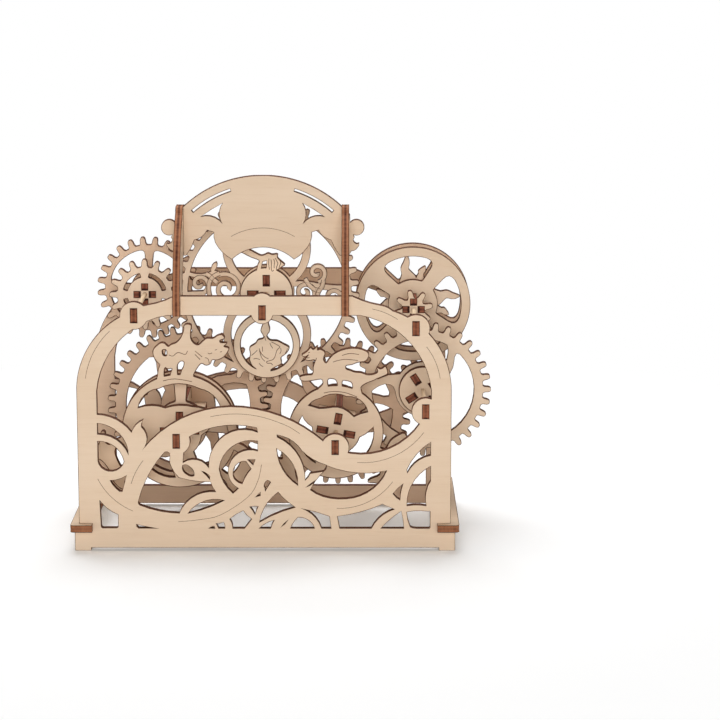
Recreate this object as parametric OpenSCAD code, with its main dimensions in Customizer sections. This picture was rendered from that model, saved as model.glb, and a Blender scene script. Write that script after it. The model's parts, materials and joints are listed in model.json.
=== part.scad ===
// Hand-driven puzzle theatre cut from plywood: two fretwork panels carry six
// geared spindles that turn the wheels of figures. X runs along the stage to
// the right, Y from the front panel to the rear one, Z up; the feet stand on Z = 0.

/* [Plywood] */
// Thickness of every plywood sheet
ply = 3; // [2.6:0.1:3.4]
// Play on each side of a tenon in its slot
slot_play = 0.05; // [0.02:0.01:0.1]

/* [Base] */
// Width over the feet of a panel
foot_span = 166.8; // [160:0.2:176]
// Width of a panel above the base plates
panel_w = 162.8; // [156:0.2:166]
// Depth over the faces of the two panels
case_depth = 84; // [84:0.5:92]
// Width of each foot
foot_w = 7; // [5:0.5:12]
// Height of the gap under the bottom rail
foot_h = 1.3; // [0.8:0.1:3]
// Top of the bottom rail
rail_top = 9.7; // [8:0.1:9.8]
// Width of a side base plate
plate_w = 9.45; // [8:0.05:12]
// Length of a side base plate
plate_len = 92; // [90:0.5:100]
// Underside of a side base plate
plate_z = 9.2; // [8:0.1:11]
// How far a base plate reaches past the feet
plate_over = 1.7; // [0.8:0.1:3]

/* [Panels] */
// Height of the beam over the stage
beam_top = 113.1; // [112:0.1:116]
// Height of the beam itself
beam_h = 8.3; // [7:0.1:10]
// Radius of the panel's round shoulders
shoulder_r = 37; // [34:0.5:40]
// Width of the posts and the arch
post_w = 8.6; // [7:0.1:10]
// Height of the bearing tenons seen in the panel
tenon_h = 6.4; // [5:0.1:7]
// Radius of the boss round a bearing tenon
boss_r = 6; // [5.5:0.1:7]

// Depth of the wider body of a bearing block
bearing_d = 4; // [3:0.1:4]

/* [Layers] */
// Gap between the rear panel and the train of gears behind the figures
rear_clear = 0.8; // [0.5:0.1:1.2]
// Gap between the two flywheel discs
fly_space = 9.7; // [8:0.1:10]
// Gap between the sun of flames and the rear flywheel disc
sun_space = 4.2; // [3:0.1:5]
// Gap between the front flywheel disc and its pinion
pinion_space = 12; // [10:0.1:13]
// Gap between the moon plate and the wheel behind it
moon_space = 0.3; // [0.2:0.05:0.5]
// Gap between the centre wheel and the rear train
centre_space = 17; // [15:0.1:18]
// Gap between the bird and dancer plate and the centre wheel
figure_space = 3.5; // [3:0.1:4]
// Depth of the beast plate behind the front panel's face
d_beast = 21; // [18:0.1:22]
// Gap between the beast plate and the ring behind it
ring_space = 6; // [5:0.1:7]
// Depth of the header behind the front panel's face
d_header = 27; // [25:0.1:28]
// Depth of the dragon plate behind the front panel's face
d_dragon = 31.5; // [30:0.1:33]

/* [Gears] */
// Tooth module of the whole train
tooth_m = 1.85; // [1.8:0.01:1.87]
// Teeth of the flywheel pinion
n_crank = 8;
// Teeth of the wheel that the flywheel pinion drives
n_right = 32;
// Teeth of the pinion behind that wheel
n_idle = 10;
// Teeth of the dragon wheel
n_dragon = 36;
// Teeth of the beast wheel
n_beast = 39;
// Teeth of the rear gear of the left spindle
n_left_rear = 24;
// Teeth of the front gear of the left spindle
n_left_front = 16;
// Teeth of the centre wheel
n_centre = 44;

/* [Spindles] */
// Flywheel spindle, across
crank_x = 65.9; // [64:0.1:68]
// Flywheel spindle, height
crank_z = 99; // [97:0.1:100]
// Right spindle, across
right_x = 70.3; // [69:0.1:71]
// Dragon spindle, height
dragon_z = 46.3; // [45:0.1:48]
// Beast spindle, height
beast_z = 49.1; // [47:0.1:50]
// Left spindle, across
left_x = -56.1; // [-57:0.1:-55]
// Centre spindle, height
centre_z = 105.9; // [105:0.1:107]
// Radius of a spindle stick
stick_r = 1; // [0.9:0.05:1.2]
// Running gap round a stick
run_gap = 0.05; // [0.02:0.01:0.1]
// Gap round a stick end in its bearing
end_gap = 0.02; // [0.01:0.01:0.05]
// Distance from the axis to a thin hub strip
strip_in_thin = 1.9; // [1.8:0.1:2.2]
// Radial length of a thin hub strip
strip_thin = 3.1; // [2.6:0.1:3.2]
// Distance from the axis to a wide hub strip
strip_in_wide = 3.6; // [3.2:0.1:3.8]
// Radial length of a wide hub strip
strip_wide = 5; // [4:0.1:5.4]
// Radial length of a strip where it passes a small pinion
strip_narrow = 2.5; // [2:0.1:2.8]

/* [Wheels] */
// Radius of the flywheel discs
fly_r = 26.2; // [24:0.1:26.3]
// Radius of the beast ring
beast_r = 25.5; // [24:0.1:26]
// Radius of the dragon ring
dragon_r = 21.2; // [20:0.1:22]
// Radius of the centre dome
dome_r = 11.8; // [11:0.1:13]
// Outer radius of the dancer's ring
dance_r = 15; // [14:0.1:15.4]
// Distance from the centre spindle down to the middle of the dancer's ring
dance_drop = 23.5; // [22:0.1:24]
// Radius of the round plate in front of the right wheel
moon_hub = 10.8; // [10:0.1:11.5]
// Wood outside the hub strips before a wheel's windows start
hub_wall = 4; // [3:0.1:5]

/* [Header] */
// Middle line of the header and the fins, across
header_x = -1.1; // [-2:0.1:1]
// Top of the header board
header_top = 162.3; // [160:0.1:165]
// Radius of the header's arc
header_r = 51; // [50:0.1:54]
// Half the distance between the fins
fin_x = 36.4; // [35.5:0.1:37]

/* [Hidden] */
$fn = 96;

birch = "#e3c9a4";
birch_dark = "#d3b48c";
burnt = "#8a4a30";
stick_pale = "#e8d6b6";

// Depths of the other front faces, stacked forwards from the rear panel
d_rear_panel = case_depth - ply;
d_train = d_rear_panel - rear_clear - ply;
d_fly_rear = d_train;
d_fly_front = d_fly_rear - fly_space - ply;
d_sun = d_fly_rear - sun_space - ply;
d_pinion = d_fly_front - pinion_space - ply;
d_moon = d_pinion - moon_space - ply;
d_centre = d_train - centre_space - ply;
d_figure = d_centre - figure_space - ply;
d_beast_ring = d_beast + ply + ring_space;
bearing_h = tenon_h + 2.6;
bore_wall = 1.5;
bore_len = ply + bearing_d - bore_wall;
end_play = 0.1;
stick_start = bore_wall + end_play;
stick_end = case_depth + bearing_d - bore_wall - end_play;
front_y = -case_depth / 2;
beam_low = beam_top - beam_h;
shoulder_x = panel_w / 2 - shoulder_r;
fit_x = panel_w / 162.8;
fit_z = beam_top / 113.1;
shoulder_z = 71.5 * fit_z;
stage_x = panel_w / 2 - post_w;
plate_out = foot_span / 2 + plate_over;
plate_in = plate_out - plate_w;
lap_x = plate_in + 3.4;

// Where each spindle stands: its second coordinate follows from the teeth it meshes with
function reach(n1, n2) = tooth_m * (n1 + n2) / 2;
function other_leg(n1, n2, leg) = sqrt(pow(reach(n1, n2), 2) - pow(leg, 2));
right_z = crank_z - other_leg(n_crank, n_right, right_x - crank_x);
dragon_x = right_x - other_leg(n_idle, n_dragon, right_z - dragon_z);
beast_x = dragon_x - other_leg(n_dragon, n_beast, beast_z - dragon_z);
left_z = beast_z + other_leg(n_beast, n_left_rear, beast_x - left_x);
centre_x = left_x + other_leg(n_left_front, n_centre, centre_z - left_z);
crank_at = [crank_x, crank_z];
right_at = [right_x, right_z];
dragon_at = [dragon_x, dragon_z];
beast_at = [beast_x, beast_z];
left_at = [left_x, left_z];
centre_at = [centre_x, centre_z];
spindles = [crank_at, right_at, dragon_at, beast_at, left_at, centre_at];

// Angle at which each gear rests, so that teeth meet gaps
function bearing_of(a, b) = atan2(b[1] - a[1], b[0] - a[0]);
function mesh(turn, n1, n2, a, b) =
  let (way = bearing_of(a, b)) way + 180 - (turn - way) * n1 / n2 + 180 / n2;
crank_turn = 12;
right_turn = mesh(crank_turn, n_crank, n_right, crank_at, right_at);
idle_turn = 8;
dragon_turn = mesh(idle_turn, n_idle, n_dragon, right_at, dragon_at);
beast_turn = mesh(dragon_turn, n_dragon, n_beast, dragon_at, beast_at);
left_turn = mesh(beast_turn, n_beast, n_left_rear, beast_at, left_at);
left_front_turn = 0;
centre_turn = mesh(left_front_turn, n_left_front, n_centre, left_at, centre_at);

// Tooth: distance from the pitch circle and half the width there
tooth_side = [[-2.3, 1.75], [-1.5, 1.25], [0, 1.15], [0.85, 0.92], [1.3, 0.5]];
function polar(r, a) = [r * cos(a), r * sin(a)];
function gear_points(n, turn) =
  let (rp = tooth_m * n / 2, k = tooth_m / 1.85, last = len(tooth_side) - 1)
  [for (i = [0 : n - 1])
    for (j = [0 : 2 * last + 1])
      let (low = j <= last, p = tooth_side[low ? j : 2 * last + 1 - j], r = rp + k * p[0])
      polar(r, turn + 360 * i / n + (low ? -1 : 1) * k * p[1] / r * 180 / PI)];
function root_r(n) = tooth_m * n / 2 - 2.3 * tooth_m / 1.85;

// A closed outline whose sides may bow. Each corner is [x, z, bow], where bow
// is how far the side after it swells to the right of its way round, in mm
arc_error = 0.08;
function arc_steps(c, b) =
  abs(b) < 0.05 ? 1 :
  let (half = 2 * atan(2 * abs(b) / c), r = c / (2 * sin(half)))
  max(2, min(20, ceil(half / acos(1 - arc_error / r))));
function side_points(p, q) =
  let (v = [q[0] - p[0], q[1] - p[1]], c = norm(v), b = p[2], n = arc_steps(c, b))
  n == 1 ? [[p[0], p[1]]] :
  let (half = 2 * atan(2 * abs(b) / c), r = c / (2 * sin(half)), u = v / c, w = [u[1], -u[0]])
  [for (i = [0 : n - 1])
    let (t = -half + 2 * half * i / n, along = c / 2 + r * sin(t), out = r * (cos(t) - cos(half)))
    [p[0], p[1]] + along * u + sign(b) * out * w];
function sized(list, kx, kz) = [for (p = list) [p[0] * kx, p[1] * kz, p[2] * (kx + kz) / 2]];
function bowed(list) =
  [for (i = [0 : len(list) - 1]) each side_points(list[i], list[(i + 1) % len(list)])];

// A smooth closed curve through hand-chosen points
function between(a, b, c, d, t) =
  0.5 * ((2 * b) + (c - a) * t + (2 * a - 5 * b + 4 * c - d) * t * t
    + (3 * b - a - 3 * c + d) * t * t * t);
function smooth(list, steps = 3) =
  let (n = len(list))
  [for (i = [0 : n - 1]) for (s = [0 : steps - 1])
    between(list[(i + n - 1) % n], list[i], list[(i + 1) % n], list[(i + 2) % n], s / steps)];

// A ribbon that winds inwards from radius r1 to r0
function spiral(r1, r0, width, from, sweep, steps = 36) =
  concat(
    [for (i = [0 : steps]) polar(r1 + (r0 - r1) * i / steps, from + sweep * i / steps)],
    [for (i = [steps : -1 : 0])
      polar(r1 + (r0 - r1) * i / steps - width * (1 - 0.4 * i / steps), from + sweep * i / steps)]
  );

module sheet(depth, at = [0, 0], t = ply)
  translate([at[0], front_y + depth + t, at[1]])
    rotate([90, 0, 0])
      linear_extrude(t)
        children();

module ring(r_out, r_in) {
  difference() {
    circle(r_out);
    circle(r_in);
  }
}

// Slot that follows an arc
module fan(r0, r1, a0, a1, steps = 16)
  polygon(concat(
    [for (i = [0 : steps]) polar(r1, a0 + (a1 - a0) * i / steps)],
    [for (i = [steps : -1 : 0]) polar(r0, a0 + (a1 - a0) * i / steps)]
  ));

// Window between two spokes: half its angle at the hub and at the rim, and how
// far its corners are eased there
function eased(a, b, c) =
  [for (t = [0.25, 0.5, 0.75]) (1 - t) * (1 - t) * a + 2 * t * (1 - t) * b + t * t * c];
function toward(a, b, d) = a + (b - a) * d / norm(b - a);
module window(r0, r1, half0, half1, ease0 = 1, ease1 = 2.4) {
  e0 = ease0 / r0 * 180 / PI;
  e1 = ease1 / r1 * 180 / PI;
  in_a = polar(r0, -half0);
  out_a = polar(r1, -half1);
  out_b = polar(r1, half1);
  in_b = polar(r0, half0);
  polygon(concat(
    [toward(in_a, out_a, ease0), toward(out_a, in_a, ease1)],
    eased(toward(out_a, in_a, ease1), out_a, polar(r1, e1 - half1)),
    [for (i = [0 : 14]) polar(r1, (e1 - half1) * (1 - i / 7))],
    eased(polar(r1, half1 - e1), out_b, toward(out_b, in_b, ease1)),
    [toward(out_b, in_b, ease1), toward(in_b, out_b, ease0)],
    eased(toward(in_b, out_b, ease0), in_b, polar(r0, half0 - e0)),
    [for (i = [0 : 8]) polar(r0, (half0 - e0) * (1 - i / 4))],
    eased(polar(r0, e0 - half0), in_a, toward(in_a, out_a, ease0))
  ));
}
module windows(count, from, r0, r1, half0, half1, ease0 = 1, ease1 = 2.4)
  for (k = [0 : count - 1])
    rotate(from + 360 * k / count)
      window(r0, r1, half0, half1, ease0, ease1);

// Windows between curved spokes: [share of the way out, angle] along each side
whirl_low = [[0.08, 7], [0.21, 4], [0.46, 3.7], [0.69, 7.3], [0.85, 10.5]];
whirl_high = [[0.93, -0.4], [0.75, -1.6], [0.61, -5.2], [0.41, -11], [0.17, -16.5]];
module whirl(count, from, r0, r1) {
  step = 360 / count;
  for (k = [0 : count - 1])
    rotate(from + step * k)
      polygon(concat(
        [for (p = whirl_low) polar(r0 + p[0] * (r1 - r0), p[1])],
        [for (i = [0 : 12]) polar(r1, 14 + (step - 18) * i / 12)],
        [for (p = whirl_high) polar(r0 + p[0] * (r1 - r0), step + p[1])],
        [for (i = [0 : 8]) polar(r0, step - 22 - (step - 38) * i / 8)]
      ));
}

// Bore and the four strip slots that every wheel on a spindle has
module hub_cuts(inner, len, turn) {
  circle(stick_r + run_gap);
  for (k = [0 : 3])
    rotate(turn + 90 * k)
      translate([inner - slot_play, -ply / 2 - slot_play])
        square([len + 2 * slot_play, ply + 2 * slot_play]);
}
thin_hub_r = strip_in_thin + strip_thin;
wide_hub_r = strip_in_wide + strip_wide;
module thin_hub(turn) hub_cuts(strip_in_thin, strip_thin, turn);
module wide_hub(turn) hub_cuts(strip_in_wide, strip_wide, turn);

module strips(at, from, to, inner, len, turn)
  translate([at[0], front_y + to, at[1]])
    rotate([90, 0, 0])
      for (k = [0 : 3])
        rotate(turn + 90 * k)
          translate([inner, -ply / 2, 0])
            cube([len, ply, to - from]);

module stick(at)
  color(stick_pale)
    translate([at[0], front_y + stick_end, at[1]])
      rotate([90, 0, 0])
        cylinder(r = stick_r, h = stick_end - stick_start);

// Fretwork of the front panel, drawn from a line this far left of the middle
art_x = 0.5;
fret_left = [
  [[-73.3, 57.2, 0], [-73.3, 52.2, -2.7], [-59.8, 42.9, 3.8]],
  [[-73.3, 49.2, 0], [-73.3, 42, 1.6], [-68.8, 35.7, 1.6], [-61.8, 40, 2.8]],
  [[-60.9, 33.8, -0.6], [-68.2, 31.6, 0.4], [-64, 26.6, 0], [-62.8, 26.6, 0]],
  [[-72.9, 22.8, 0], [-72.4, 11.2, 0.4], [-71.4, 10.1, 0], [-65.8, 10.1, 0.4], [-64.8, 11.2, 0],
    [-64.8, 16.2, -0.8]],
  [[-57, 11.9, 0.3], [-56, 10, 0], [-47, 9.9, -0.2]],
  [[-44, 44.4, 1.6], [-56, 21.8, 0.4], [-54.7, 20.2, 0.8], [-38, 16.8, -3.2], [-21.8, 26.4, -0.3],
    [-24.2, 31, -0.6], [-38, 32.9, -0.5], [-41.9, 39.4, 0], [-41.8, 44.5, 0]],
  [[-36.4, 38.2, 0.8], [-34.5, 34.2, 0.5], [-31.3, 33.6, 0.8], [-33.5, 38, 0.6]],
  [[-28.3, 35.9, -0.3], [-24.5, 31.8, 0], [-24.4, 33.4, 0.4]]
];
fret_middle = [
  [[-3.3, 53, 0], [-3.8, 55.2, 3.3], [-35.3, 50, 0], [-36.2, 39.4, -2.7], [-24.8, 37, -1.6],
    [-19.8, 50.1, -2.6]],
  [[-3.4, 44.7, 0], [-3.4, 49.3, 4.6], [-20.4, 36.8, 1.2], [-14.4, 25.7, 0], [-11.9, 28, -1.5],
    [-16.4, 36.3, -3.8]],
  [[-8.6, 40.2, 1.8], [-14.3, 35, 0.6], [-12.8, 31.2, 0.2], [-10.3, 30, -0.4], [-6.3, 36.8, 0]],
  [[-8.1, 41, 0], [-5.5, 38.4, 0], [-4.5, 41, 0]],
  [[-34.4, 16.6, 0.6], [-18, 22.6, 2.8]],
  [[5, 51, -3.5], [17.2, 31.5, 0.2], [19.4, 34.6, 0], [25.4, 35.6, 0.3], [26.6, 38.5, -0.9],
    [15.8, 45, 1.4], [5, 52, 0]],
  [[4.7, 46, 2.3], [14.1, 29.2, 2.8]],
  [[17.4, 28.4, 0.5], [22.3, 32, 0.1]],
  [[-3, 12.6, -0.7], [13, 19.4, 0], [11.4, 20.6, -0.4], [5.4, 26.4, 1.6]],
  [[-0.8, 29, -0.2], [-0.3, 26.6, 0], [2.2, 30.8, 0.2], [0.6, 31.6, 0.4]],
  [[-4.8, 24, 0], [-2.4, 24.7, 0], [-2.4, 26.4, 0]],
  [[-7.2, 19.7, -0.2], [-4.8, 16.1, -0.2], [-3.3, 19.9, 0.2]],
  [[-14.7, 9.9, 0], [-9.4, 9.9, 0], [-6.2, 14.2, -0.3], [-10, 18, 0.3], [-16, 14.2, -0.4]],
  [[-20.9, 9.9, 0], [-18, 9.9, 0.2], [-18.6, 12.8, -0.2], [-22, 12.2, 0]],
  [[-25.4, 9.9, 0], [-22.3, 9.9, 0], [-22.8, 11, 0.2]],
  [[-3.2, 9.9, 0], [2, 9.9, -0.2], [3.8, 13.8, 0.6]],
  [[6.3, 10.3, 0.3], [9.9, 14, 0.2]],
  [[10.6, 9.9, 0], [21.4, 9.9, 1.6], [14, 15, 0.4]]
];
fret_right = [
  [[19.4, 27.3, 0.3], [25, 24.3, 0.5], [35, 23.2, 3.2], [53, 36, -2.1], [26.8, 38.2, 0],
    [26.3, 36.5, 0.6]],
  [[24.3, 9.9, 0], [28.6, 9.9, 0], [27.8, 15.4, 0.3], [15.4, 19, -1.6]],
  [[32.2, 9.9, 0], [46.2, 9.9, -1.4], [56.4, 18.6, 0], [51, 20.9, -0.8], [31.2, 15.4, 0]],
  [[50.2, 9.9, 0], [60.5, 9.9, 0.2], [59.3, 17.8, 0.4]],
  [[61.6, 17.4, 0.3], [63.2, 10.6, 0.2], [66, 9.9, 0], [71, 9.9, 0.5], [72, 11, 0], [72, 16.9, 0.5],
    [71.2, 17.7, 0.4]],
  [[61.7, 20.1, -0.4], [70.3, 20.1, -0.4], [70.2, 26.5, -0.3], [72.1, 31.3, 0], [72.1, 38, 3]],
  [[72.1, 48.8, 1.2], [61.6, 36.4, 0], [61.9, 34.8, -1.6], [72.1, 42.7, 0]],
  [[55.6, 25.6, 0.3], [58.8, 22.6, -0.4], [60.2, 30.2, 0.2]]
];

// Opening of the stage, from the left post round by the wavy rail
stage_low = concat(
  [[-stage_x / fit_x - art_x, 61, -2]],
  [[-58.4, 53, -0.9], [-53.2, 58.6, 0.3], [-54.1, 55.5, -0.6], [-51.7, 50.2, -0.6],
    [-53.9, 45.1, -4.9], [-15, 64.5, -4], [25.7, 48.6, 0], [33, 44.6, 6.1], [67.4, 57.1, 0]],
  [[stage_x / fit_x - art_x, 63, 0]]
);
arch_run = 27 * fit_x;
arch_bow = 6.4 * fit_x;
stage_high = [
  [stage_x, shoulder_z, arch_bow],
  [stage_x - arch_run, beam_low - 0.9, 0],
  [stage_x - arch_run - 4, beam_low, 0],
  [-stage_x + arch_run + 4, beam_low, 0],
  [-stage_x + arch_run, beam_low - 0.9, arch_bow],
  [-stage_x, shoulder_z, 0]
];

beam_boss_r = 4.8;
beam_end = [
  [shoulder_x, shoulder_z, 0], [shoulder_x + 12.6 * fit_x, shoulder_z + 33.8 * fit_z, 0.8],
  [shoulder_x + 6 * fit_x, beam_top - 3.9 * fit_z, -0.5], [shoulder_x - 6 * fit_x, beam_top, 0]
];
function both_sides(list) =
  concat(list, [for (i = [len(list) - 1 : -1 : 0]) [-list[i][0], list[i][1]]]);
module panel_outline() {
  difference() {
    union() {
      translate([-foot_span / 2, 0])
        square([foot_span, plate_z + ply]);
      translate([-panel_w / 2, 0])
        square([panel_w, shoulder_z]);
      for (s = [-1, 1])
        translate([s * shoulder_x, shoulder_z])
          circle(shoulder_r);
      polygon(both_sides(bowed(beam_end)));
      for (p = [crank_at, left_at])
        translate(p)
          circle(boss_r);
      translate([centre_x, beam_top - beam_boss_r + 1.4])
        circle(beam_boss_r);
    }
    translate([-foot_span / 2 + foot_w, -1])
      square([foot_span - 2 * foot_w, foot_h + 1]);
    for (s = [-1, 1])
      translate([s * (lap_x + (plate_out - lap_x) / 2), plate_z + ply / 2])
        square([plate_out - lap_x + 2 * slot_play, ply + 2 * slot_play], center = true);
  }
}

module stage_opening() {
  polygon(concat(
    [for (p = bowed(sized(stage_low, fit_x, fit_z))) [p[0] + art_x * fit_x, p[1]]],
    bowed(stage_high)
  ));
}

module bosses() {
  for (p = [crank_at, right_at, dragon_at, beast_at, left_at])
    translate(p)
      circle(boss_r);
  translate(centre_at)
    circle(beam_boss_r);
}

module bearing_slots()
  for (p = spindles)
    translate(p)
      square([ply + 2 * slot_play, tenon_h + 2 * slot_play], center = true);

fin_lap = 4.1;
module fin_slots()
  for (s = [-1, 1])
    translate([header_x + s * fin_x - ply / 2 - slot_play, beam_top - fin_lap])
      square([ply + 2 * slot_play, fin_lap + 10]);

module front_panel()
  color(birch)
    sheet(0)
      difference() {
        union() {
          difference() {
            panel_outline();
            stage_opening();
            translate([art_x * fit_x, 0])
              for (w = concat(fret_left, fret_middle, fret_right))
                polygon(bowed(sized(w, fit_x, fit_z)));
          }
          intersection() {
            bosses();
            translate([-panel_w / 2, 0])
              square([panel_w, 200]);
          }
        }
        bearing_slots();
        fin_slots();
      }

// The rear panel has the same frame and rail, held by one plain strut
rear_x = stage_x / fit_x;
rear_z = rail_top / fit_z;
rear_low = [
  [[-rear_x, rear_z, 0], [-4.6, rear_z, 0], [-4.6, 55.6, 1.2], [-24, 54.6, 2.8],
    [-53, 41, -2], [-59, 54, 2], [-rear_x, 56, 0]],
  [[2.4, rear_z, 0], [rear_x, rear_z, 0], [rear_x, 49, 1.2], [53, 36.4, -2.1],
    [27, 38.6, -0.9], [16.3, 45.4, 1.4], [5.5, 52.9, 0.4], [2.4, 54.2, 0]]
];
module rear_panel()
  color(birch_dark)
    sheet(d_rear_panel)
      difference() {
        union() {
          difference() {
            panel_outline();
            stage_opening();
            for (w = rear_low)
              polygon(bowed(sized(w, fit_x, fit_z)));
          }
          intersection() {
            bosses();
            translate([-panel_w / 2, 0])
              square([panel_w, 200]);
          }
        }
        bearing_slots();
      }

// Flat plates under the sides with eased outer corners, lapped over both panels
plate_ease = 1.5;
plate_outline = [
  [0, 0, 0], [plate_w - plate_ease, 0, 0.44], [plate_w, plate_ease, 0],
  [plate_w, plate_len - plate_ease, 0.44], [plate_w - plate_ease, plate_len, 0], [0, plate_len, 0]
];
module base_plate(s)
  mirror([s > 0 ? 0 : 1, 0, 0])
    translate([plate_in, -plate_len / 2, plate_z])
      linear_extrude(ply)
        difference() {
          polygon(bowed(plate_outline));
          for (y = [plate_len / 2 - case_depth / 2, plate_len / 2 + case_depth / 2 - ply])
            translate([-1, y - slot_play])
              square([lap_x - plate_in + slot_play + 1, ply + 2 * slot_play]);
        }
module base_plate_left() color(birch) base_plate(-1);
module base_plate_right() color(birch) base_plate(1);

// Slanted fins that hold the header over the stage, drawn as [depth, z]
fit_d = d_header / 27;
fit_h = header_top / 162.3;
fin_outline = [
  [-3 * fit_d, 104.8 * fit_z, 0], [0, 104.8 * fit_z, 0], [3 * fit_d, 104.8 * fit_z, 0],
  [10 * fit_d, 104.8 * fit_z, -1.5], [15 * fit_d, 113.5 * fit_z, -3], [34.6 * fit_d, 134 * fit_h, 0],
  [34.6 * fit_d, 148.6 * fit_h, 0.4], [24 * fit_d, 149 * fit_h, 0.6],
  [21.5 * fit_d, 146.5 * fit_h, 4.5], [-3 * fit_d, 112 * fit_z, 0]
];
fin_top_lap = 137 * fit_h;
module fin(s)
  translate([header_x + s * fin_x - ply / 2, 0, 0])
    rotate([90, 0, 90])
      linear_extrude(ply)
        difference() {
          translate([front_y, 0])
            polygon(bowed(fin_outline));
          translate([front_y - slot_play, 0])
            square([ply + 2 * slot_play, beam_top - fin_lap]);
          translate([front_y + d_header - slot_play, fin_top_lap])
            square([ply + 2 * slot_play, 60]);
        }
module fin_left() color(burnt) fin(-1);
module fin_right() color(burnt) fin(1);

// Header: an arched board with a shield, drawn about its own middle line
header_centre = header_top - header_r;
header_slot_r = header_r - 4.2;
header_slot_w = 1.4;
fit_r = header_r / 51;
ear_at = [41.2 * fit_r, 139.4 * fit_h];
ear_r = 3.4 * fit_r;
header_edge = [
  [0, 130.7, -0.5], [13.7, 125.3, 0.8], [20.9, 132.8, 0.3], [21.5, 137.4, 0], [24.5, 138.3, 0.9],
  [30.2, 133.9, 0.4], [34, 127, 0], [37.9, 127, 0], [39, 129, 0.4], [41.6, 130.4, 0.3],
  [42.4, 132.4, -0.4], [40.4, 132.7, -0.6], [40.3, 135, 0], [38.6, 139, 0], [38.2, 147, 0],
  [34, 170, 0], [0, 170, 0]
];
header_gap = [[17.7, 141, -1.7], [27.4, 144.05, 0.3], [17.4, 150.3, -1.5]];
module header_side() {
  difference() {
    union() {
      intersection() {
        polygon(bowed(sized(header_edge, fit_r, fit_h)));
        translate([0, header_centre])
          circle(header_r);
      }
      translate(ear_at)
        circle(ear_r);
    }
    translate([0, header_centre])
      fan(header_slot_r - header_slot_w / 2, header_slot_r + header_slot_w / 2, 48.6, 72.6);
    polygon(bowed(sized(header_gap, fit_r, fit_h)));
    translate([fin_x - ply / 2 - slot_play, 100])
      square([ply + 2 * slot_play, fin_top_lap - 100]);
  }
}
module header_board()
  color(birch)
    sheet(d_header, [header_x, 0])
      union() {
        header_side();
        mirror([1, 0])
          header_side();
      }

// Bearing blocks: a tenon in the panel, a wider body behind it and a blind bore
// that opens towards the spindle
module bearing(at, tenon_d, body_d, bore_d)
  translate([at[0], front_y, at[1]])
    difference() {
      union() {
        translate([-ply / 2, tenon_d, -tenon_h / 2])
          cube([ply, ply, tenon_h]);
        translate([-ply / 2, body_d, -bearing_h / 2])
          cube([ply, bearing_d, bearing_h]);
      }
      translate([0, bore_d + bore_len, 0])
        rotate([90, 0, 0])
          cylinder(r = stick_r + end_gap, h = bore_len);
    }
module front_bearings()
  color(burnt)
    for (p = spindles)
      bearing(p, 0, ply, bore_wall);
module rear_bearings()
  color(burnt)
    for (p = spindles)
      bearing(p, d_rear_panel, case_depth, case_depth + bearing_d - bore_wall - bore_len);

module crank_stick() stick(crank_at);
module right_stick() stick(right_at);
module dragon_stick() stick(dragon_at);
module beast_stick() stick(beast_at);
module left_stick() stick(left_at);
module centre_stick() stick(centre_at);

// Flywheel: two spoked discs with a sun of flames between them
crank_hub = 0;
fly_rim = 4;
fly_hub = thin_hub_r + 6.2;
fly_turn = 97;
module fly_disc()
  difference() {
    circle(fly_r);
    windows(4, fly_turn, fly_hub, fly_r - fly_rim, 29, 34.5, 0.8, 4.2);
    thin_hub(crank_hub);
  }
module flywheel_front() color(birch) sheet(d_fly_front, crank_at) fly_disc();
module flywheel_rear() color(birch_dark) sheet(d_fly_rear, crank_at) fly_disc();

flame_long = [[8.9, -0.8], [11.3, -2.9], [14, -1.1], [15.7, 0], [17.8, -0.6], [19.9, -0.7], [21.8, 0.3],
  [19, 1.9], [16.3, 3.5], [13.2, 3.5], [9.6, 4.7]];
flame_short = [[7.9, -5.3], [9.4, -6.6], [12.3, -6.4], [13.7, -7.5], [15.9, -7.7], [14.3, -4.5],
  [12.9, -4.2], [11.3, -3.1], [8.8, -1.7]];
fit_f = fly_r / 26.2;
sun_r = 10.6 * fit_f;
module sun_disc()
  color(birch_dark)
    sheet(d_sun, crank_at)
      difference() {
        union() {
          circle(sun_r);
          for (k = [0 : 3])
            rotate(fly_turn + 90 * k)
              for (flame = [flame_long, flame_short])
                polygon(smooth(flame * fit_f));
        }
        thin_hub(crank_hub);
      }
module crank_pinion()
  color(birch)
    sheet(d_pinion, crank_at)
      difference() {
        polygon(gear_points(n_crank, crank_turn));
        thin_hub(crank_hub);
      }
module crank_strips()
  color(burnt)
    strips(crank_at, d_pinion, d_fly_rear + ply, strip_in_thin, strip_thin, crank_hub);

// Right spindle: big wheel with curved spokes, a round plate in front of its hub and
// a pinion behind
right_hub = 33;
module right_gear()
  color(birch)
    sheet(d_pinion, right_at)
      difference() {
        polygon(gear_points(n_right, right_turn));
        whirl(3, -72, wide_hub_r + hub_wall, root_r(n_right) - hub_wall);
        wide_hub(right_hub);
      }
module moon_plate()
  color(birch)
    sheet(d_moon, right_at)
      difference() {
        circle(moon_hub);
        wide_hub(right_hub);
      }
module idle_pinion()
  color(birch_dark)
    sheet(d_train, right_at)
      difference() {
        polygon(gear_points(n_idle, idle_turn));
        circle(stick_r + run_gap);
        for (k = [0 : 3])
          rotate(right_hub + 90 * k)
            translate([strip_in_wide - slot_play, -ply / 2 - slot_play])
              square([strip_narrow + 2 * slot_play, ply + 2 * slot_play]);
      }
module right_strips()
  color(burnt) {
    strips(right_at, d_moon, d_pinion + ply, strip_in_wide, strip_wide, right_hub);
    strips(right_at, d_moon, d_train + ply, strip_in_wide, strip_narrow, right_hub);
  }

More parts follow.
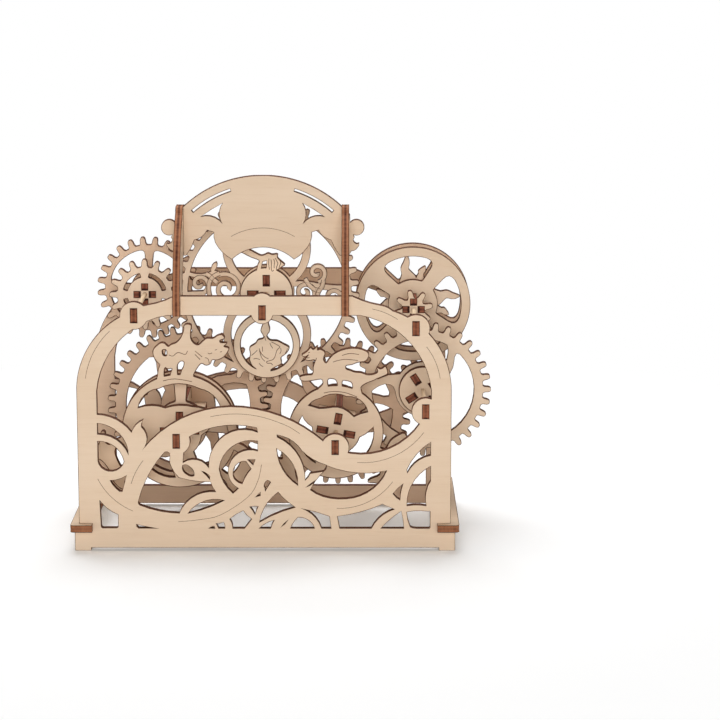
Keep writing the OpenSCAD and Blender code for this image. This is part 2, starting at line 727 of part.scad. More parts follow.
// Dragon wheel
dragon_hub = 80;
dragon_windows = [
  [[-12.4, 12.2, 0], [-7.6, 10.8, 0.2], [-1.4, 11.4, -0.3], [3.2, 10.8, -0.3], [8.1, 7, -0.3],
    [14.4, 9.2, 2.3], [5, 16.3, 1.6], [-7, 15.5, 0.6]],
  [[-10.6, 2.5, -0.6], [-15, 7.6, 1.4], [-16.6, -3.4, 1.6], [-9, -14.4, -0.6], [-9.5, -6, 0]],
  [[10.6, -2.3, -0.4], [7.6, -7.2, -0.4], [2, -10.4, 0], [2, -16.9, 1.6], [13, -11, 1.6],
    [16.9, 2.5, -0.5]]
];
dragon_shape = [[12.8, -5], [12.6, -1.6], [15, 0.1], [18.3, 1.2], [20.6, 2.1], [22.9, 2.9], [25, 4],
  [24.3, 7.1], [22.2, 6.1], [20.4, 6.9], [20.6, 4.8], [18.4, 3.9], [15.8, 3.9], [13.2, 5.1],
  [10.5, 5.5], [8.3, 6.5], [6.6, 7.3], [6.8, 8.8], [9.4, 9.1], [11.9, 9.9], [15.8, 10.4], [17.1, 13.6],
  [13.9, 15.7], [9.9, 16.4], [5.9, 16], [2.2, 14.6], [-0.4, 12.5], [-2.1, 10.5], [-3.2, 12.5],
  [-2.2, 15.1], [-3.9, 16.8], [-5.6, 16.7], [-5.3, 18.4], [-7.3, 17], [-8.5, 18], [-10.2, 16.3],
  [-12.6, 14.9], [-11.2, 14.1], [-9.5, 14.9], [-11.2, 13], [-9.6, 12.2], [-6.9, 12.3], [-7.9, 9.2],
  [-8.5, 5.9], [-11.4, 5.7], [-14.2, 5], [-13.4, 3.3], [-10.3, 3], [-7.1, 3.3], [-4.5, 3.3],
  [-4.3, 1], [-6.6, -1.2], [-6.3, -3.7], [-1.7, -3.2], [-2.1, 1], [-1.5, 3.3], [1.4, 2.9],
  [2.3, 0.7], [2.3, -3.2], [4, -3.2], [4.5, 1.7], [6.2, 2], [8.6, 1], [9, -1.2], [8.6, -3.8]];
bird_shape = [[-8.6, 10.4], [-6.6, 8], [-9.6, 7.4], [-11.6, 4.6], [-9, 5.6], [-5.4, 4.4],
  [-2.6, 2.4], [-2, -3], [2, -3], [2.4, 2.2], [6.4, 1.4], [10, 1.6], [6, 4.2], [3.2, 5.6], [6, 8],
  [9.8, 9.4], [13, 12], [7, 12.6], [2, 10.8], [-1.4, 8.4], [-4.6, 10.4], [-8, 13.4], [-12, 12.4]];
fish_shape = [[-10.6, 4.4], [-7, 2.6], [-2.4, 2], [-2.2, -3], [2.4, -3], [2.2, 2.4], [5, 3],
  [9, 5.2], [12.4, 2.4], [14.4, 2], [13, 6.2], [15, 10], [13, 10.6], [9.4, 7.2], [6.4, 9],
  [2.4, 10.8], [0, 13.4], [-4, 12], [-9, 10.6], [-13, 7]];
module figures(list, r, from, fit)
  for (k = [0 : len(list) - 1])
    rotate(from + 360 * k / len(list))
      translate([0, r])
        polygon(smooth(list[k] * fit));
fit_dragon = dragon_r / 21.2;
dragon_lean = 4;
module dragon_plate()
  color(birch)
    sheet(d_dragon, dragon_at)
      difference() {
        union() {
          circle(dragon_r);
          figures([dragon_shape, bird_shape, fish_shape], dragon_r, dragon_lean, fit_dragon);
        }
        for (w = dragon_windows)
          polygon(bowed(w * fit_dragon));
        wide_hub(dragon_hub);
      }
train_rim = 4.8;
module dragon_gear()
  color(birch_dark)
    sheet(d_train, dragon_at)
      difference() {
        polygon(gear_points(n_dragon, dragon_turn));
        mirror([0, 1])
          whirl(3, -15.6, wide_hub_r + hub_wall, root_r(n_dragon) - train_rim);
        wide_hub(dragon_hub);
      }
module dragon_strips()
  color(burnt)
    strips(dragon_at, d_dragon, d_train + ply, strip_in_wide, strip_wide, dragon_hub);

// Beast wheel
beast_hub = 0;
beast_rim = 4.2;
beast_windows = [
  [[-18.4, 10.4, -1.2], [-6.2, 10.4, -0.9], [6, 11, -0.4], [14, 9, -0.4], [18.6, 10, 2],
    [9, 19.3, 2.2], [-9, 19.3, 2.2]],
  [[9.6, -2, -0.8], [6, -9.4, -0.4], [8.6, -19.4, 2], [18.6, -10, 1.6], [21, 2.6, -0.8], [16, 4.6, -0.6]],
  [[-20.8, -4, 2], [-14, -16, 1.6], [-2, -21.2, -0.6], [-4.4, -11.4, -1.6], [-13, -8.6, -0.8]]
];
beast_shape = [[7, -4.4], [4.3, -0.6], [5.2, 2.7], [7.2, 5.8], [9.4, 5.2], [11.2, 6], [12, 7.9], [14.1, 8],
  [16.7, 9.4], [18.3, 11.7], [18.8, 13.7], [16.6, 14.3], [17.9, 15.9], [15, 15.9], [14.8, 17],
  [16.6, 17.9], [15.5, 19.4], [13.5, 18.9], [11.6, 17.5], [9, 17.3], [7.3, 15.9], [5.4, 14],
  [3.4, 14.5], [1.8, 16.5], [1.5, 19.5], [1.4, 22.6], [-1.4, 22.4], [-1.6, 19.7], [-2.7, 16.3],
  [-4.5, 14.1], [-6.4, 13.2], [-7.9, 12.1], [-9.5, 13.3], [-11.1, 13.4], [-12.6, 12.3], [-14.3, 10],
  [-14, 7.3], [-12.3, 4.9], [-10.9, 3.7], [-11.4, 1.7], [-11.6, -1.1], [-11.8, -5.4], [-8.2, -5],
  [-8.8, -0.8], [-8.6, 2.5], [-7.2, 2.1], [-5.4, 2.4], [-5.9, -0.1], [-6, -4.2], [-2.6, -4],
  [-3, 1], [-3.2, 4], [-2, 6], [-0.4, 5.9], [-0.4, 3.7], [-1.3, 1.2], [-1.4, -3.8]];
beast_curl = [[-9.8, 8], [-8.2, 8], [-8.5, 10.5], [-10.4, 10.3]];
fit_beast = beast_r / 25.5;
horse_shape = [[-10, -4.4], [-6.8, -4], [-7.4, 2], [-4.4, 5], [0, 5.4], [4, 4.6], [5.6, 1.8], [5, -3.4],
  [8.2, -4], [8.4, 2], [7.6, 5.4], [9.8, 6.6], [13.6, 4.8], [14.2, 6.4], [10.6, 8.8], [9.4, 11],
  [11, 13.6], [14.6, 13], [15.6, 14.6], [12.4, 17.4], [9.6, 18.8], [8.6, 17], [5.6, 14.8],
  [2.6, 11.8], [-3, 10.6], [-8, 11.2], [-12.6, 9.6], [-15, 5.4], [-14.6, 1.8], [-12.8, 4.6],
  [-10.8, 7], [-9.4, 4.4], [-10.8, 1.4]];
ram_shape = [[-9.4, -4.4], [-6.6, -3.8], [-6.8, 2.6], [-3.6, 4.8], [2, 5], [4, 2.4], [3.6, -3.2],
  [6.6, -3.6], [7, 3], [8.6, 6.4], [10.6, 9.2], [13.8, 8.6], [14.6, 10.2], [12.4, 12.8], [12, 15.6],
  [8.8, 17.2], [5.8, 15.6], [6, 12.8], [8.4, 12.6], [7.8, 14.4], [9.8, 13.8], [9, 11.4],
  [6, 11], [1, 11.6], [-5, 11.4], [-9.6, 11.2], [-11.6, 12.6], [-12, 9.4], [-10.6, 5.8], [-10.8, 1.4]];
beast_lean = -5;
module beast_plate()
  color(birch)
    sheet(d_beast, beast_at)
      difference() {
        union() {
          circle(beast_r);
          figures([beast_shape, horse_shape, ram_shape], beast_r, beast_lean, fit_beast);
        }
        for (w = beast_windows)
          polygon(bowed(w * fit_beast));
        figures([beast_curl], beast_r, beast_lean, fit_beast);
        wide_hub(beast_hub);
      }
module beast_ring()
  color(birch_dark)
    sheet(d_beast_ring, beast_at)
      difference() {
        circle(beast_r);
        windows(4, 45, wide_hub_r + hub_wall - 1, beast_r - beast_rim, 34, 37);
        wide_hub(beast_hub);
      }
module beast_gear()
  color(birch_dark)
    sheet(d_train, beast_at)
      difference() {
        polygon(gear_points(n_beast, beast_turn));
        mirror([0, 1])
          whirl(4, -34, wide_hub_r + hub_wall, root_r(n_beast) - train_rim);
        wide_hub(beast_hub);
      }
module beast_strips()
  color(burnt)
    strips(beast_at, d_beast, d_train + ply, strip_in_wide, strip_wide, beast_hub);

// Left spindle with its two gears
left_hub = 0;
module left_front_gear()
  color(birch)
    sheet(d_centre, left_at)
      difference() {
        polygon(gear_points(n_left_front, left_front_turn));
        windows(4, 45, thin_hub_r + 2.9, root_r(n_left_front) - 2.5, 33, 33, 0.4, 0.6);
        thin_hub(left_hub);
      }
module left_rear_gear()
  color(birch)
    sheet(d_train, left_at)
      difference() {
        polygon(gear_points(n_left_rear, left_turn));
        windows(4, 43, thin_hub_r + 2.8, root_r(n_left_rear) - 2.1, 35, 38.5);
        thin_hub(left_hub);
      }
module left_strips()
  color(burnt)
    strips(left_at, d_centre, d_train + ply, strip_in_thin, strip_thin, left_hub);

// Centre wheel: a dome with a fan-tailed bird, a dancer in a ring, a scrolled gear
centre_hub = 0;
dancer_shape = [[-3.1, -13.2], [1, -13.2], [1.9, -11.2], [4.2, -9.8], [6.6, -8.4], [6.4, -5.7], [8.7, -3.8],
  [10.1, -1.6], [9.7, -0.6], [7.4, 0.6], [4.7, 2], [1.8, 2.2], [0.3, 3.5], [0.2, 4.8], [1.3, 6.4],
  [1.3, 8.1], [0.8, 10], [1, 12.8], [-2, 12.8], [-1.6, 10], [-2.6, 6.9], [-1.7, 5], [-1.3, 3.6],
  [-2, 2.9], [-3.9, 2.4], [-5.1, 0.7], [-7.7, -1.1], [-7.4, -3.9], [-7.8, -6.6], [-6.6, -9.4],
  [-4.5, -11.2]];
tail_shape = [[3.9, 7.8], [3.1, 10.4], [4.6, 10.9], [6, 11.7], [7.2, 12.6], [8.4, 13.4], [6.7, 15],
  [5.1, 16.6], [5.1, 18.2], [2.7, 18], [0.9, 18.6], [-0.7, 17.9], [-2.3, 17.6], [-4.5, 18.6],
  [-6.8, 19.9], [-9, 20.9], [-11.7, 21.5], [-13.1, 20.4], [-10.1, 18.6], [-6.8, 16.9],
  [-3.2, 15.4], [-3.8, 13.3], [-4.3, 11], [-5.9, 7.8]];
tail_hole = [[-2.3, 11.7, 0], [0.1, 11.9, 0], [0.4, 15.4, 0], [-1.6, 14.8, 0]];
dance_band = 3;
fit_dome = dome_r / 11.8;
fit_dance = dance_r / 15;
module figure_plate()
  color(birch)
    sheet(d_figure, centre_at)
      difference() {
        union() {
          circle(dome_r);
          polygon(smooth(tail_shape * fit_dome));
          translate([0, -dance_drop]) {
            ring(dance_r, dance_r - dance_band);
            polygon(smooth(dancer_shape * fit_dance));
          }
        }
        polygon(bowed(tail_hole * fit_dome));
        wide_hub(centre_hub);
      }
fit_c = tooth_m / 1.85;
loop_r = 19.9 * fit_c;
loop_w = 3.4 * fit_c;
loop_off = 19.8 * fit_c;
centre_rim = 2.4 * fit_c;
branch_left = [[-37, 8, 1.4], [-24.6, 7.8, 0.2], [-21.6, 7.6, 0], [-21.8, 9.2, 0.3],
  [-24.6, 9.6, -1.6], [-37, 10, 0]];
branch_right = [[11, 2.4, -0.6], [23, 1.4, 0.4], [37, 0.4, 0], [37, 3, -0.4], [23, 4, 0.6], [11, 4.6, 0]];
scroll_w = 1.3;
function backwards(list) = [for (i = [len(list) - 1 : -1 : 0]) list[i]];
module scroll(x, z, r1, from, sweep, tail = []) {
  line = concat([for (p = spiral(r1, 0.27 * r1, scroll_w, from, sweep)) p + [x, z]], tail);
  polygon(sweep < 0 ? backwards(line) : line);
}
module centre_gear()
  color(birch_dark)
    sheet(d_centre, centre_at)
      difference() {
        union() {
          difference() {
            polygon(gear_points(n_centre, centre_turn));
            circle(root_r(n_centre) - centre_rim);
          }
          circle(dome_r + 0.6);
          for (s = [-1, 1])
            translate([0, s * loop_off])
              ring(loop_r, loop_r - loop_w);
          scale(fit_c) {
            scroll(-30.6, 3.6, 5.4, -60, 420);
            scroll(-18.5, 1.4, 8, 120, -500);
            polygon(bowed(branch_left));
            polygon(bowed([[-37, -2.2, 0], [-28, -1.6, 0], [-28, 0.4, 0], [-37, 0, 0]]));
            polygon(bowed([[-24.6, 8.6, 0], [-23, 10.6, 0.4], [-22.8, 13.6, 0.6], [-25.2, 10.8, 0.4]]));
            scroll(22.6, 8.8, 5.4, -80, 420);
            scroll(17.2, -0.4, 5.8, -40, 480);
            scroll(30, -2.6, 5, -20, 420);
            polygon(bowed(branch_right));
          }
        }
        wide_hub(centre_hub);
      }
module centre_strips()
  color(burnt)
    strips(centre_at, d_figure, d_centre + ply, strip_in_wide, strip_wide, centre_hub);

front_panel();
rear_panel();
base_plate_left();
base_plate_right();
fin_left();
fin_right();
header_board();
front_bearings();
rear_bearings();
crank_stick();
right_stick();
dragon_stick();
beast_stick();
left_stick();
centre_stick();
flywheel_front();
flywheel_rear();
sun_disc();
crank_pinion();
crank_strips();
right_gear();
moon_plate();
idle_pinion();
right_strips();
dragon_plate();
dragon_gear();
dragon_strips();
beast_plate();
beast_ring();
beast_gear();
beast_strips();
left_front_gear();
left_rear_gear();
left_strips();
figure_plate();
centre_gear();
centre_strips();
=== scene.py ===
"""Looks of a hand-driven plywood puzzle theatre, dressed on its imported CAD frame.

The sheets keep their CAD shapes, but for the header board, whose lower edge is cut to
its arch. This script gives them birch faces and burnt, layered edges. It adds the scored
lines, the scorched outlines that the cutting leaves and the ribbons that bring the thin
scrolls to their full breadth, and it sets the studio, the lamps and the camera.
"""

import json
import logging
import math
from dataclasses import dataclass, field
from enum import Enum
from typing import Iterable, Sequence, Union

import bmesh
import bpy
from bpy.types import ID, Material, Mesh, Node, NodeSocket, NodeTree, Object
from mathutils import Matrix, Vector


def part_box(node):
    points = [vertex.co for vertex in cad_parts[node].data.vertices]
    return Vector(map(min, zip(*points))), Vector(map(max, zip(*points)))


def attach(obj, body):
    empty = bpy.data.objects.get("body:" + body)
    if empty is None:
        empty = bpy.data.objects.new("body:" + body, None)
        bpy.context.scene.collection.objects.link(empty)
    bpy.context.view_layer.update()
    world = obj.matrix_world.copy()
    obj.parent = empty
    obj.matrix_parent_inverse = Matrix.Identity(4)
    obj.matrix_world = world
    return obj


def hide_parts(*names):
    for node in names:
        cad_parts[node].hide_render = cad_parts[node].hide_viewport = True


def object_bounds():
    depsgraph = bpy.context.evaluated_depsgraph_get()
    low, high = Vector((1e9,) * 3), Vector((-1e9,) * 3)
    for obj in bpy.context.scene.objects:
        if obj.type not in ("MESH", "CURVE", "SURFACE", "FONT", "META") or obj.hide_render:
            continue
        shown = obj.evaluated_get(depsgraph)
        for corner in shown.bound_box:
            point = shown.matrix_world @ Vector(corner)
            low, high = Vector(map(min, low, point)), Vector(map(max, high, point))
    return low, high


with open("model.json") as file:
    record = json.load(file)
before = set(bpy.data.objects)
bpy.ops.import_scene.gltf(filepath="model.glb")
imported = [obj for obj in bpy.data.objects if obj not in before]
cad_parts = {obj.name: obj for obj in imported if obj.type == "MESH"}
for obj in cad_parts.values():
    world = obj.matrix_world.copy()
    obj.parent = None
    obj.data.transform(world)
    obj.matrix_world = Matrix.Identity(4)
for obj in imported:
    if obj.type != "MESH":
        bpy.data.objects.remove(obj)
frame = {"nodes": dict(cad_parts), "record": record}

LOG = logging.getLogger("theatre")
MM = 0.001
CAD_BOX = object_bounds()

Colour = tuple[float, float, float]
Point = tuple[float, float]
Line = Sequence[Point]
Corners = Sequence[Vector]
Wire = tuple[list[Vector], list[tuple[int, int]]]
Value = Union[NodeSocket, Sequence[float], float]
Layer = tuple[NodeSocket, NodeSocket, NodeSocket]

# Limits of the search for edges: lengths in metres, and an angle in radians.
SAME_PLACE = 0.002 * MM
WELD_GRID = 0.001 * MM
SHORTEST_EDGE = 0.001 * MM
ON_FACE = 0.01 * MM
BORE_REACH = 1.7 * MM
SHARP_EDGE = 1.2

# A normal's part along the sheet's axis, where cut sides end and where faces start.
VENEER_FADE = (0.45, 0.6)

# Numbers of the colour sockets of a Mix node.
FIRST_COLOUR, SECOND_COLOUR, MIXED_COLOUR = 6, 7, 2


class Across(Enum):
    """Axis that runs through the thickness of a sheet."""

    X = 0
    Y = 1
    Z = 2


class Body(Enum):
    """Rigid bodies of the theatre, by their names in the frame."""

    THEATRE = "theatre"
    FLYWHEEL = "flywheel_set"
    RIGHT = "right_set"
    DRAGON = "dragon_set"
    BEAST = "beast_set"
    LEFT = "left_set"
    CENTRE = "centre_set"


def linear(code: str) -> Colour:
    """Turns a screen colour into the linear one that shaders use, by the sRGB curve.

    Args:
        code: Six hexadecimal digits, red first.

    Returns:
        Red, green and blue from 0 to 1.
    """
    parts = [int(code[i : i + 2], 16) / 255 for i in (0, 2, 4)]
    r, g, b = (p / 12.92 if p <= 0.04045 else ((p + 0.055) / 1.055) ** 2.4 for p in parts)
    return (r, g, b)


@dataclass(frozen=True)
class Nodes:
    """A short way to add and join the nodes of one tree."""

    tree: NodeTree

    def add(self, kind: str, inputs: Union[dict, None] = None, **settings: object) -> Node:
        """Adds a node.

        Args:
            kind: Blender's type name of the node.
            inputs: Sockets or constants for its inputs, by their names or numbers. A constant
                colour is red, green and blue.
            settings: Attributes to set on it.

        Returns:
            The new node.
        """
        node = self.tree.nodes.new(kind)
        for key, value in settings.items():
            setattr(node, key, value)
        for label, value in (inputs or {}).items():
            target = node.inputs[label]
            if isinstance(value, NodeSocket):
                self.tree.links.new(value, target)
            else:
                target.default_value = (*value, 1.0) if target.type == "RGBA" else value
        return node

    def maths(self, operation: str, *values: Value) -> NodeSocket:
        """Adds a Math node for some sockets or numbers and returns its result."""
        return self.add("ShaderNodeMath", dict(enumerate(values)), operation=operation).outputs[0]

    def apart(self, first: Value, second: Value) -> NodeSocket:
        """Returns how far two values lie apart."""
        return self.maths("ABSOLUTE", self.maths("SUBTRACT", first, second))

    def weigh(self, total: Value, value: Value, weight: Value) -> NodeSocket:
        """Adds a weighted value to a total and returns the sum."""
        return self.maths("ADD", total, self.maths("MULTIPLY", value, weight))

    def spread(self, value: NodeSocket, low: float, high: float) -> NodeSocket:
        """Stretches the range low to high over 0 to 1 and clamps what lies outside."""
        limits = {"Value": value, "From Min": low, "From Max": high}
        return self.add("ShaderNodeMapRange", limits).outputs[0]

    def split(self, vector: NodeSocket) -> list[NodeSocket]:
        """Splits a vector into its x, y and z."""
        return list(self.add("ShaderNodeSeparateXYZ", {"Vector": vector}).outputs)

    def mapped(self, vector: NodeSocket, kind: str = "POINT", **changes: Value) -> NodeSocket:
        """Moves, turns or stretches a place, or a direction where the kind is VECTOR."""
        return self.add("ShaderNodeMapping", {"Vector": vector, **changes}, vector_type=kind).outputs[0]

    def blend(self, share: Value, first: Value, second: Value) -> NodeSocket:
        """Mixes two colours, with the share of the second one from 0 to 1."""
        inputs = {"Factor": share, FIRST_COLOUR: first, SECOND_COLOUR: second}
        return self.add("ShaderNodeMix", inputs, data_type="RGBA").outputs[MIXED_COLOUR]

    def surface(self, inputs: dict[str, Value]) -> None:
        """Ends a material with a Principled shader that has these inputs."""
        shader = self.add("ShaderNodeBsdfPrincipled", inputs)
        self.add("ShaderNodeOutputMaterial", {"Surface": shader.outputs[0]})


def new_material(name: str) -> tuple[Material, Nodes]:
    """Starts a material without nodes.

    Args:
        name: The material's name.

    Returns:
        The material and a helper for its tree.
    """
    material = bpy.data.materials.new(name)
    material.use_nodes = True
    material.node_tree.nodes.clear()
    return material, Nodes(material.node_tree)


def new_group(name: str, kind: str, inputs: dict[str, str], outputs: dict[str, str]) -> tuple:
    """Starts a node group.

    Args:
        name: The group's name.
        kind: Blender's type name of the tree.
        inputs: Kinds of the sockets that go in, by their names.
        outputs: Kinds of the sockets that come out, by their names.

    Returns:
        A helper for the tree, and the sockets that go in.
    """
    tree = bpy.data.node_groups.new(name, kind)
    for sockets, way in ((inputs, "INPUT"), (outputs, "OUTPUT")):
        for label, type_name in sockets.items():
            tree.interface.new_socket(name=label, in_out=way, socket_type=f"NodeSocket{type_name}")
    n = Nodes(tree)
    return n, n.add("NodeGroupInput").outputs


@dataclass(frozen=True)
class Pattern:
    """A noise pattern, with the range of it that is spread over 0 to 1."""

    scale: float
    detail: float
    rough: float
    low: float
    high: float

    def make(self, n: Nodes, place: NodeSocket) -> NodeSocket:
        """Adds the pattern's nodes.

        Args:
            n: Nodes of the tree.
            place: Coordinates in metres.

        Returns:
            The pattern's socket.
        """
        inputs = {"Vector": place, "Scale": self.scale, "Detail": self.detail, "Roughness": self.rough}
        return n.spread(n.add("ShaderNodeTexNoise", inputs).outputs[0], self.low, self.high)


@dataclass
class ShaderGroups:
    """Effects that several finishes share, each built once.

    A fade is a range that is spread over 0 to 1. Core and glue are measured from the
    middle of the sheet, as shares of its thickness.
    """

    bands: Pattern = Pattern(55.0, 3.0, 0.55, 0.32, 0.7)
    streaks: Pattern = Pattern(420.0, 4.0, 0.65, 0.3, 0.72)
    pores: Pattern = Pattern(1700.0, 2.0, 0.5, 0.6, 0.72)
    band_share: float = 0.45
    streak_share: float = 0.4
    pore_share: float = 0.35
    streak_height: float = 0.6
    smoke: Pattern = Pattern(900.0, 3.0, 0.6, 0.35, 0.7)
    scuffs: Pattern = Pattern(130.0, 2.0, 0.5, 0.4, 0.66)
    core_fade: Point = (0.1, 0.18)
    glue_at: float = 0.19
    glue_fade: Point = (0.015, 0.05)
    rim_fade: Point = (0.74, 1.0)
    glue_dark: float = 0.3
    smoke_dark: float = 0.35
    scuff_pale: float = 0.2
    glue_height: float = 0.6

    def __post_init__(self) -> None:
        """Builds the groups."""
        self.grain = self._grain()
        self.scorch = self._scorch()

    def _grain(self) -> NodeTree:
        """Builds birch veneer: broad bands, fine streaks and short dark pores.

        Returns:
            The group's tree.
        """
        n, given = new_group(
            "birch_grain", "ShaderNodeTree",
            {"Place": "Vector", "Pale": "Color", "Deep": "Color", "Contrast": "Float"},
            {"Color": "Color", "Height": "Float"},
        )
        band, streak, pore = (p.make(n, given["Place"]) for p in (self.bands, self.streaks, self.pores))
        share = n.weigh(n.maths("MULTIPLY", band, self.band_share), streak, self.streak_share)
        share = n.maths("MULTIPLY", n.weigh(share, pore, self.pore_share), given["Contrast"])
        height = n.maths("SUBTRACT", n.maths("MULTIPLY", streak, self.streak_height), pore)
        colour = n.blend(share, given["Pale"], given["Deep"])
        n.add("NodeGroupOutput", {"Color": colour, "Height": height})
        return n.tree

    def _scorch(self) -> NodeTree:
        """Builds a burnt edge: three plies with glue lines, sooty streaks, paler scuffs and a darker rim.

        Returns:
            The group's tree.
        """
        n, given = new_group(
            "burnt_edge", "ShaderNodeTree",
            {"Place": "Vector", "Depth": "Float", "Border": "Float", "Brown": "Color", "Soot and shade": "Color",
             "Middle": "Float", "Rim": "Float"},
            {"Color": "Color", "Height": "Float"},
        )
        off = n.apart(given["Depth"], 0.5)
        core = n.maths("SUBTRACT", 1.0, n.spread(off, *self.core_fade))
        glue = n.maths("SUBTRACT", 1.0, n.spread(n.apart(off, self.glue_at), *self.glue_fade))
        # The rim darkens a cut face towards its border: the outer plies on the sheets, and painted shade of
        # the slots round the bearing blocks and hub strips.
        rim = n.spread(given["Border"], *self.rim_fade)
        smoke, scuff = (p.make(n, given["Place"]) for p in (self.smoke, self.scuffs))
        dark = n.weigh(n.maths("MULTIPLY", core, given["Middle"]), glue, self.glue_dark)
        dark = n.weigh(n.weigh(dark, rim, given["Rim"]), smoke, self.smoke_dark)
        dark = n.maths("SUBTRACT", dark, n.maths("MULTIPLY", scuff, self.scuff_pale))
        share = n.add("ShaderNodeClamp", {"Value": dark}).outputs[0]
        height = n.maths("SUBTRACT", smoke, n.maths("MULTIPLY", glue, self.glue_height))
        colour = n.blend(share, given["Brown"], given["Soot and shade"])
        n.add("NodeGroupOutput", {"Color": colour, "Height": height})
        return n.tree


def veneer(n: Nodes, facing: NodeSocket) -> NodeSocket:
    """Returns 1 where a surface looks through the sheet's thickness, and 0 on a cut side."""
    return n.spread(n.maths("ABSOLUTE", facing), *VENEER_FADE)


@dataclass(frozen=True)
class FlatSheet:
    """Layers of one flat sheet."""

    across: Across
    low: float
    thick: float

    def read(self, n: Nodes, place: NodeSocket, normal: NodeSocket) -> Layer:
        """Reads where a point lies in the layers.

        Args:
            n: Nodes of the material.
            place: Object coordinates.
            normal: Object normal.

        Returns:
            The depth through the sheet from 0 to 1, 1 where a veneer shows, and how near a cut
            face's border is, with 1 on it.
        """
        axis = self.across.value
        depth = n.maths("DIVIDE", n.maths("SUBTRACT", n.split(place)[axis], self.low), self.thick)
        border = n.maths("MULTIPLY", n.apart(depth, 0.5), 2.0)
        return depth, veneer(n, n.split(normal)[axis]), border


@dataclass(frozen=True)
class BlockRow:
    """Layers of the bearing blocks, which are cut across X and show a tenon each."""

    middles: Sequence[Point]
    thick: float
    tall: float
    across: Across = Across.X

    def read(self, n: Nodes, place: NodeSocket, normal: NodeSocket) -> Layer:
        """Reads where a point lies in the layers of the block that is nearest.

        Args:
            n: Nodes of the material.
            place: Object coordinates.
            normal: Object normal.

        Returns:
            The depth, the veneer and the border, as a flat sheet gives them.
        """
        x, _, z = n.split(place)
        off, border = None, None
        for middle_x, middle_z in self.middles:
            aside, along = n.apart(x, middle_x), n.apart(z, middle_z)
            shares = (n.maths("DIVIDE", aside, self.thick / 2), n.maths("DIVIDE", along, self.tall / 2))
            # Painted shade: the border rises to 1 at every side of a tenon's end, so its rim colour is
            # burnt ply and also the shade in the slot round it.
            edge = n.maths("MAXIMUM", *shares)
            off = aside if off is None else n.maths("MINIMUM", off, aside)
            border = edge if border is None else n.maths("MINIMUM", border, edge)
        depth = n.maths("ADD", n.maths("DIVIDE", off, self.thick), 0.5)
        return depth, veneer(n, n.split(normal)[0]), border


@dataclass(frozen=True)
class HubCross:
    """Layers of the four strips that stand as a cross round a spindle."""

    at: Point
    turn: float
    thick: float
    inner: float
    outer: float
    across: Across = Across.Y
    # Painted shade: how far from the inner end the strip is painted as dark as its open slot.
    painted_gap_shade: float = 0.7 * MM

    def read(self, n: Nodes, place: NodeSocket, normal: NodeSocket) -> Layer:
        """Reads where a point lies in the layers of its strip.

        The slots are longer than the strips, so each inner end gets painted shade, as dark as an open slot.

        Args:
            n: Nodes of the material.
            place: Object coordinates.
            normal: Object normal.

        Returns:
            The depth, the veneer and the border, as a flat sheet gives them.
        """
        angle = math.radians(self.turn)
        spindle = Matrix.Rotation(angle, 3, "Y") @ Vector((self.at[0], 0.0, self.at[1]))
        level = n.mapped(place, Location=-spindle, Rotation=(0.0, angle, 0.0))
        level_normal = n.mapped(normal, "VECTOR", Rotation=(0.0, angle, 0.0))
        x, _, z = (n.maths("ABSOLUTE", v) for v in n.split(level))
        face_x, _, face_z = (n.maths("ABSOLUTE", v) for v in n.split(level_normal))
        lying = n.maths("GREATER_THAN", x, z)
        upright = n.maths("MULTIPLY", n.maths("SUBTRACT", 1.0, lying), face_x)
        face = n.weigh(upright, lying, face_z)
        aside = n.maths("MINIMUM", x, z)
        depth = n.maths("ADD", n.maths("DIVIDE", aside, self.thick), 0.5)
        # Painted shade of the open slot: past this start the end face is fully dark.
        start = self.inner + self.painted_gap_shade
        along = n.apart(n.maths("MAXIMUM", x, z), (self.outer + start) / 2)
        end_on = n.maths("ABSOLUTE", n.split(normal)[1])
        ends = n.maths("MULTIPLY", n.maths("DIVIDE", along, (self.outer - start) / 2), end_on)
        border = n.maths("MAXIMUM", n.maths("DIVIDE", aside, self.thick / 2), ends)
        return depth, veneer(n, face), border


Layers = Union[FlatSheet, BlockRow, HubCross]


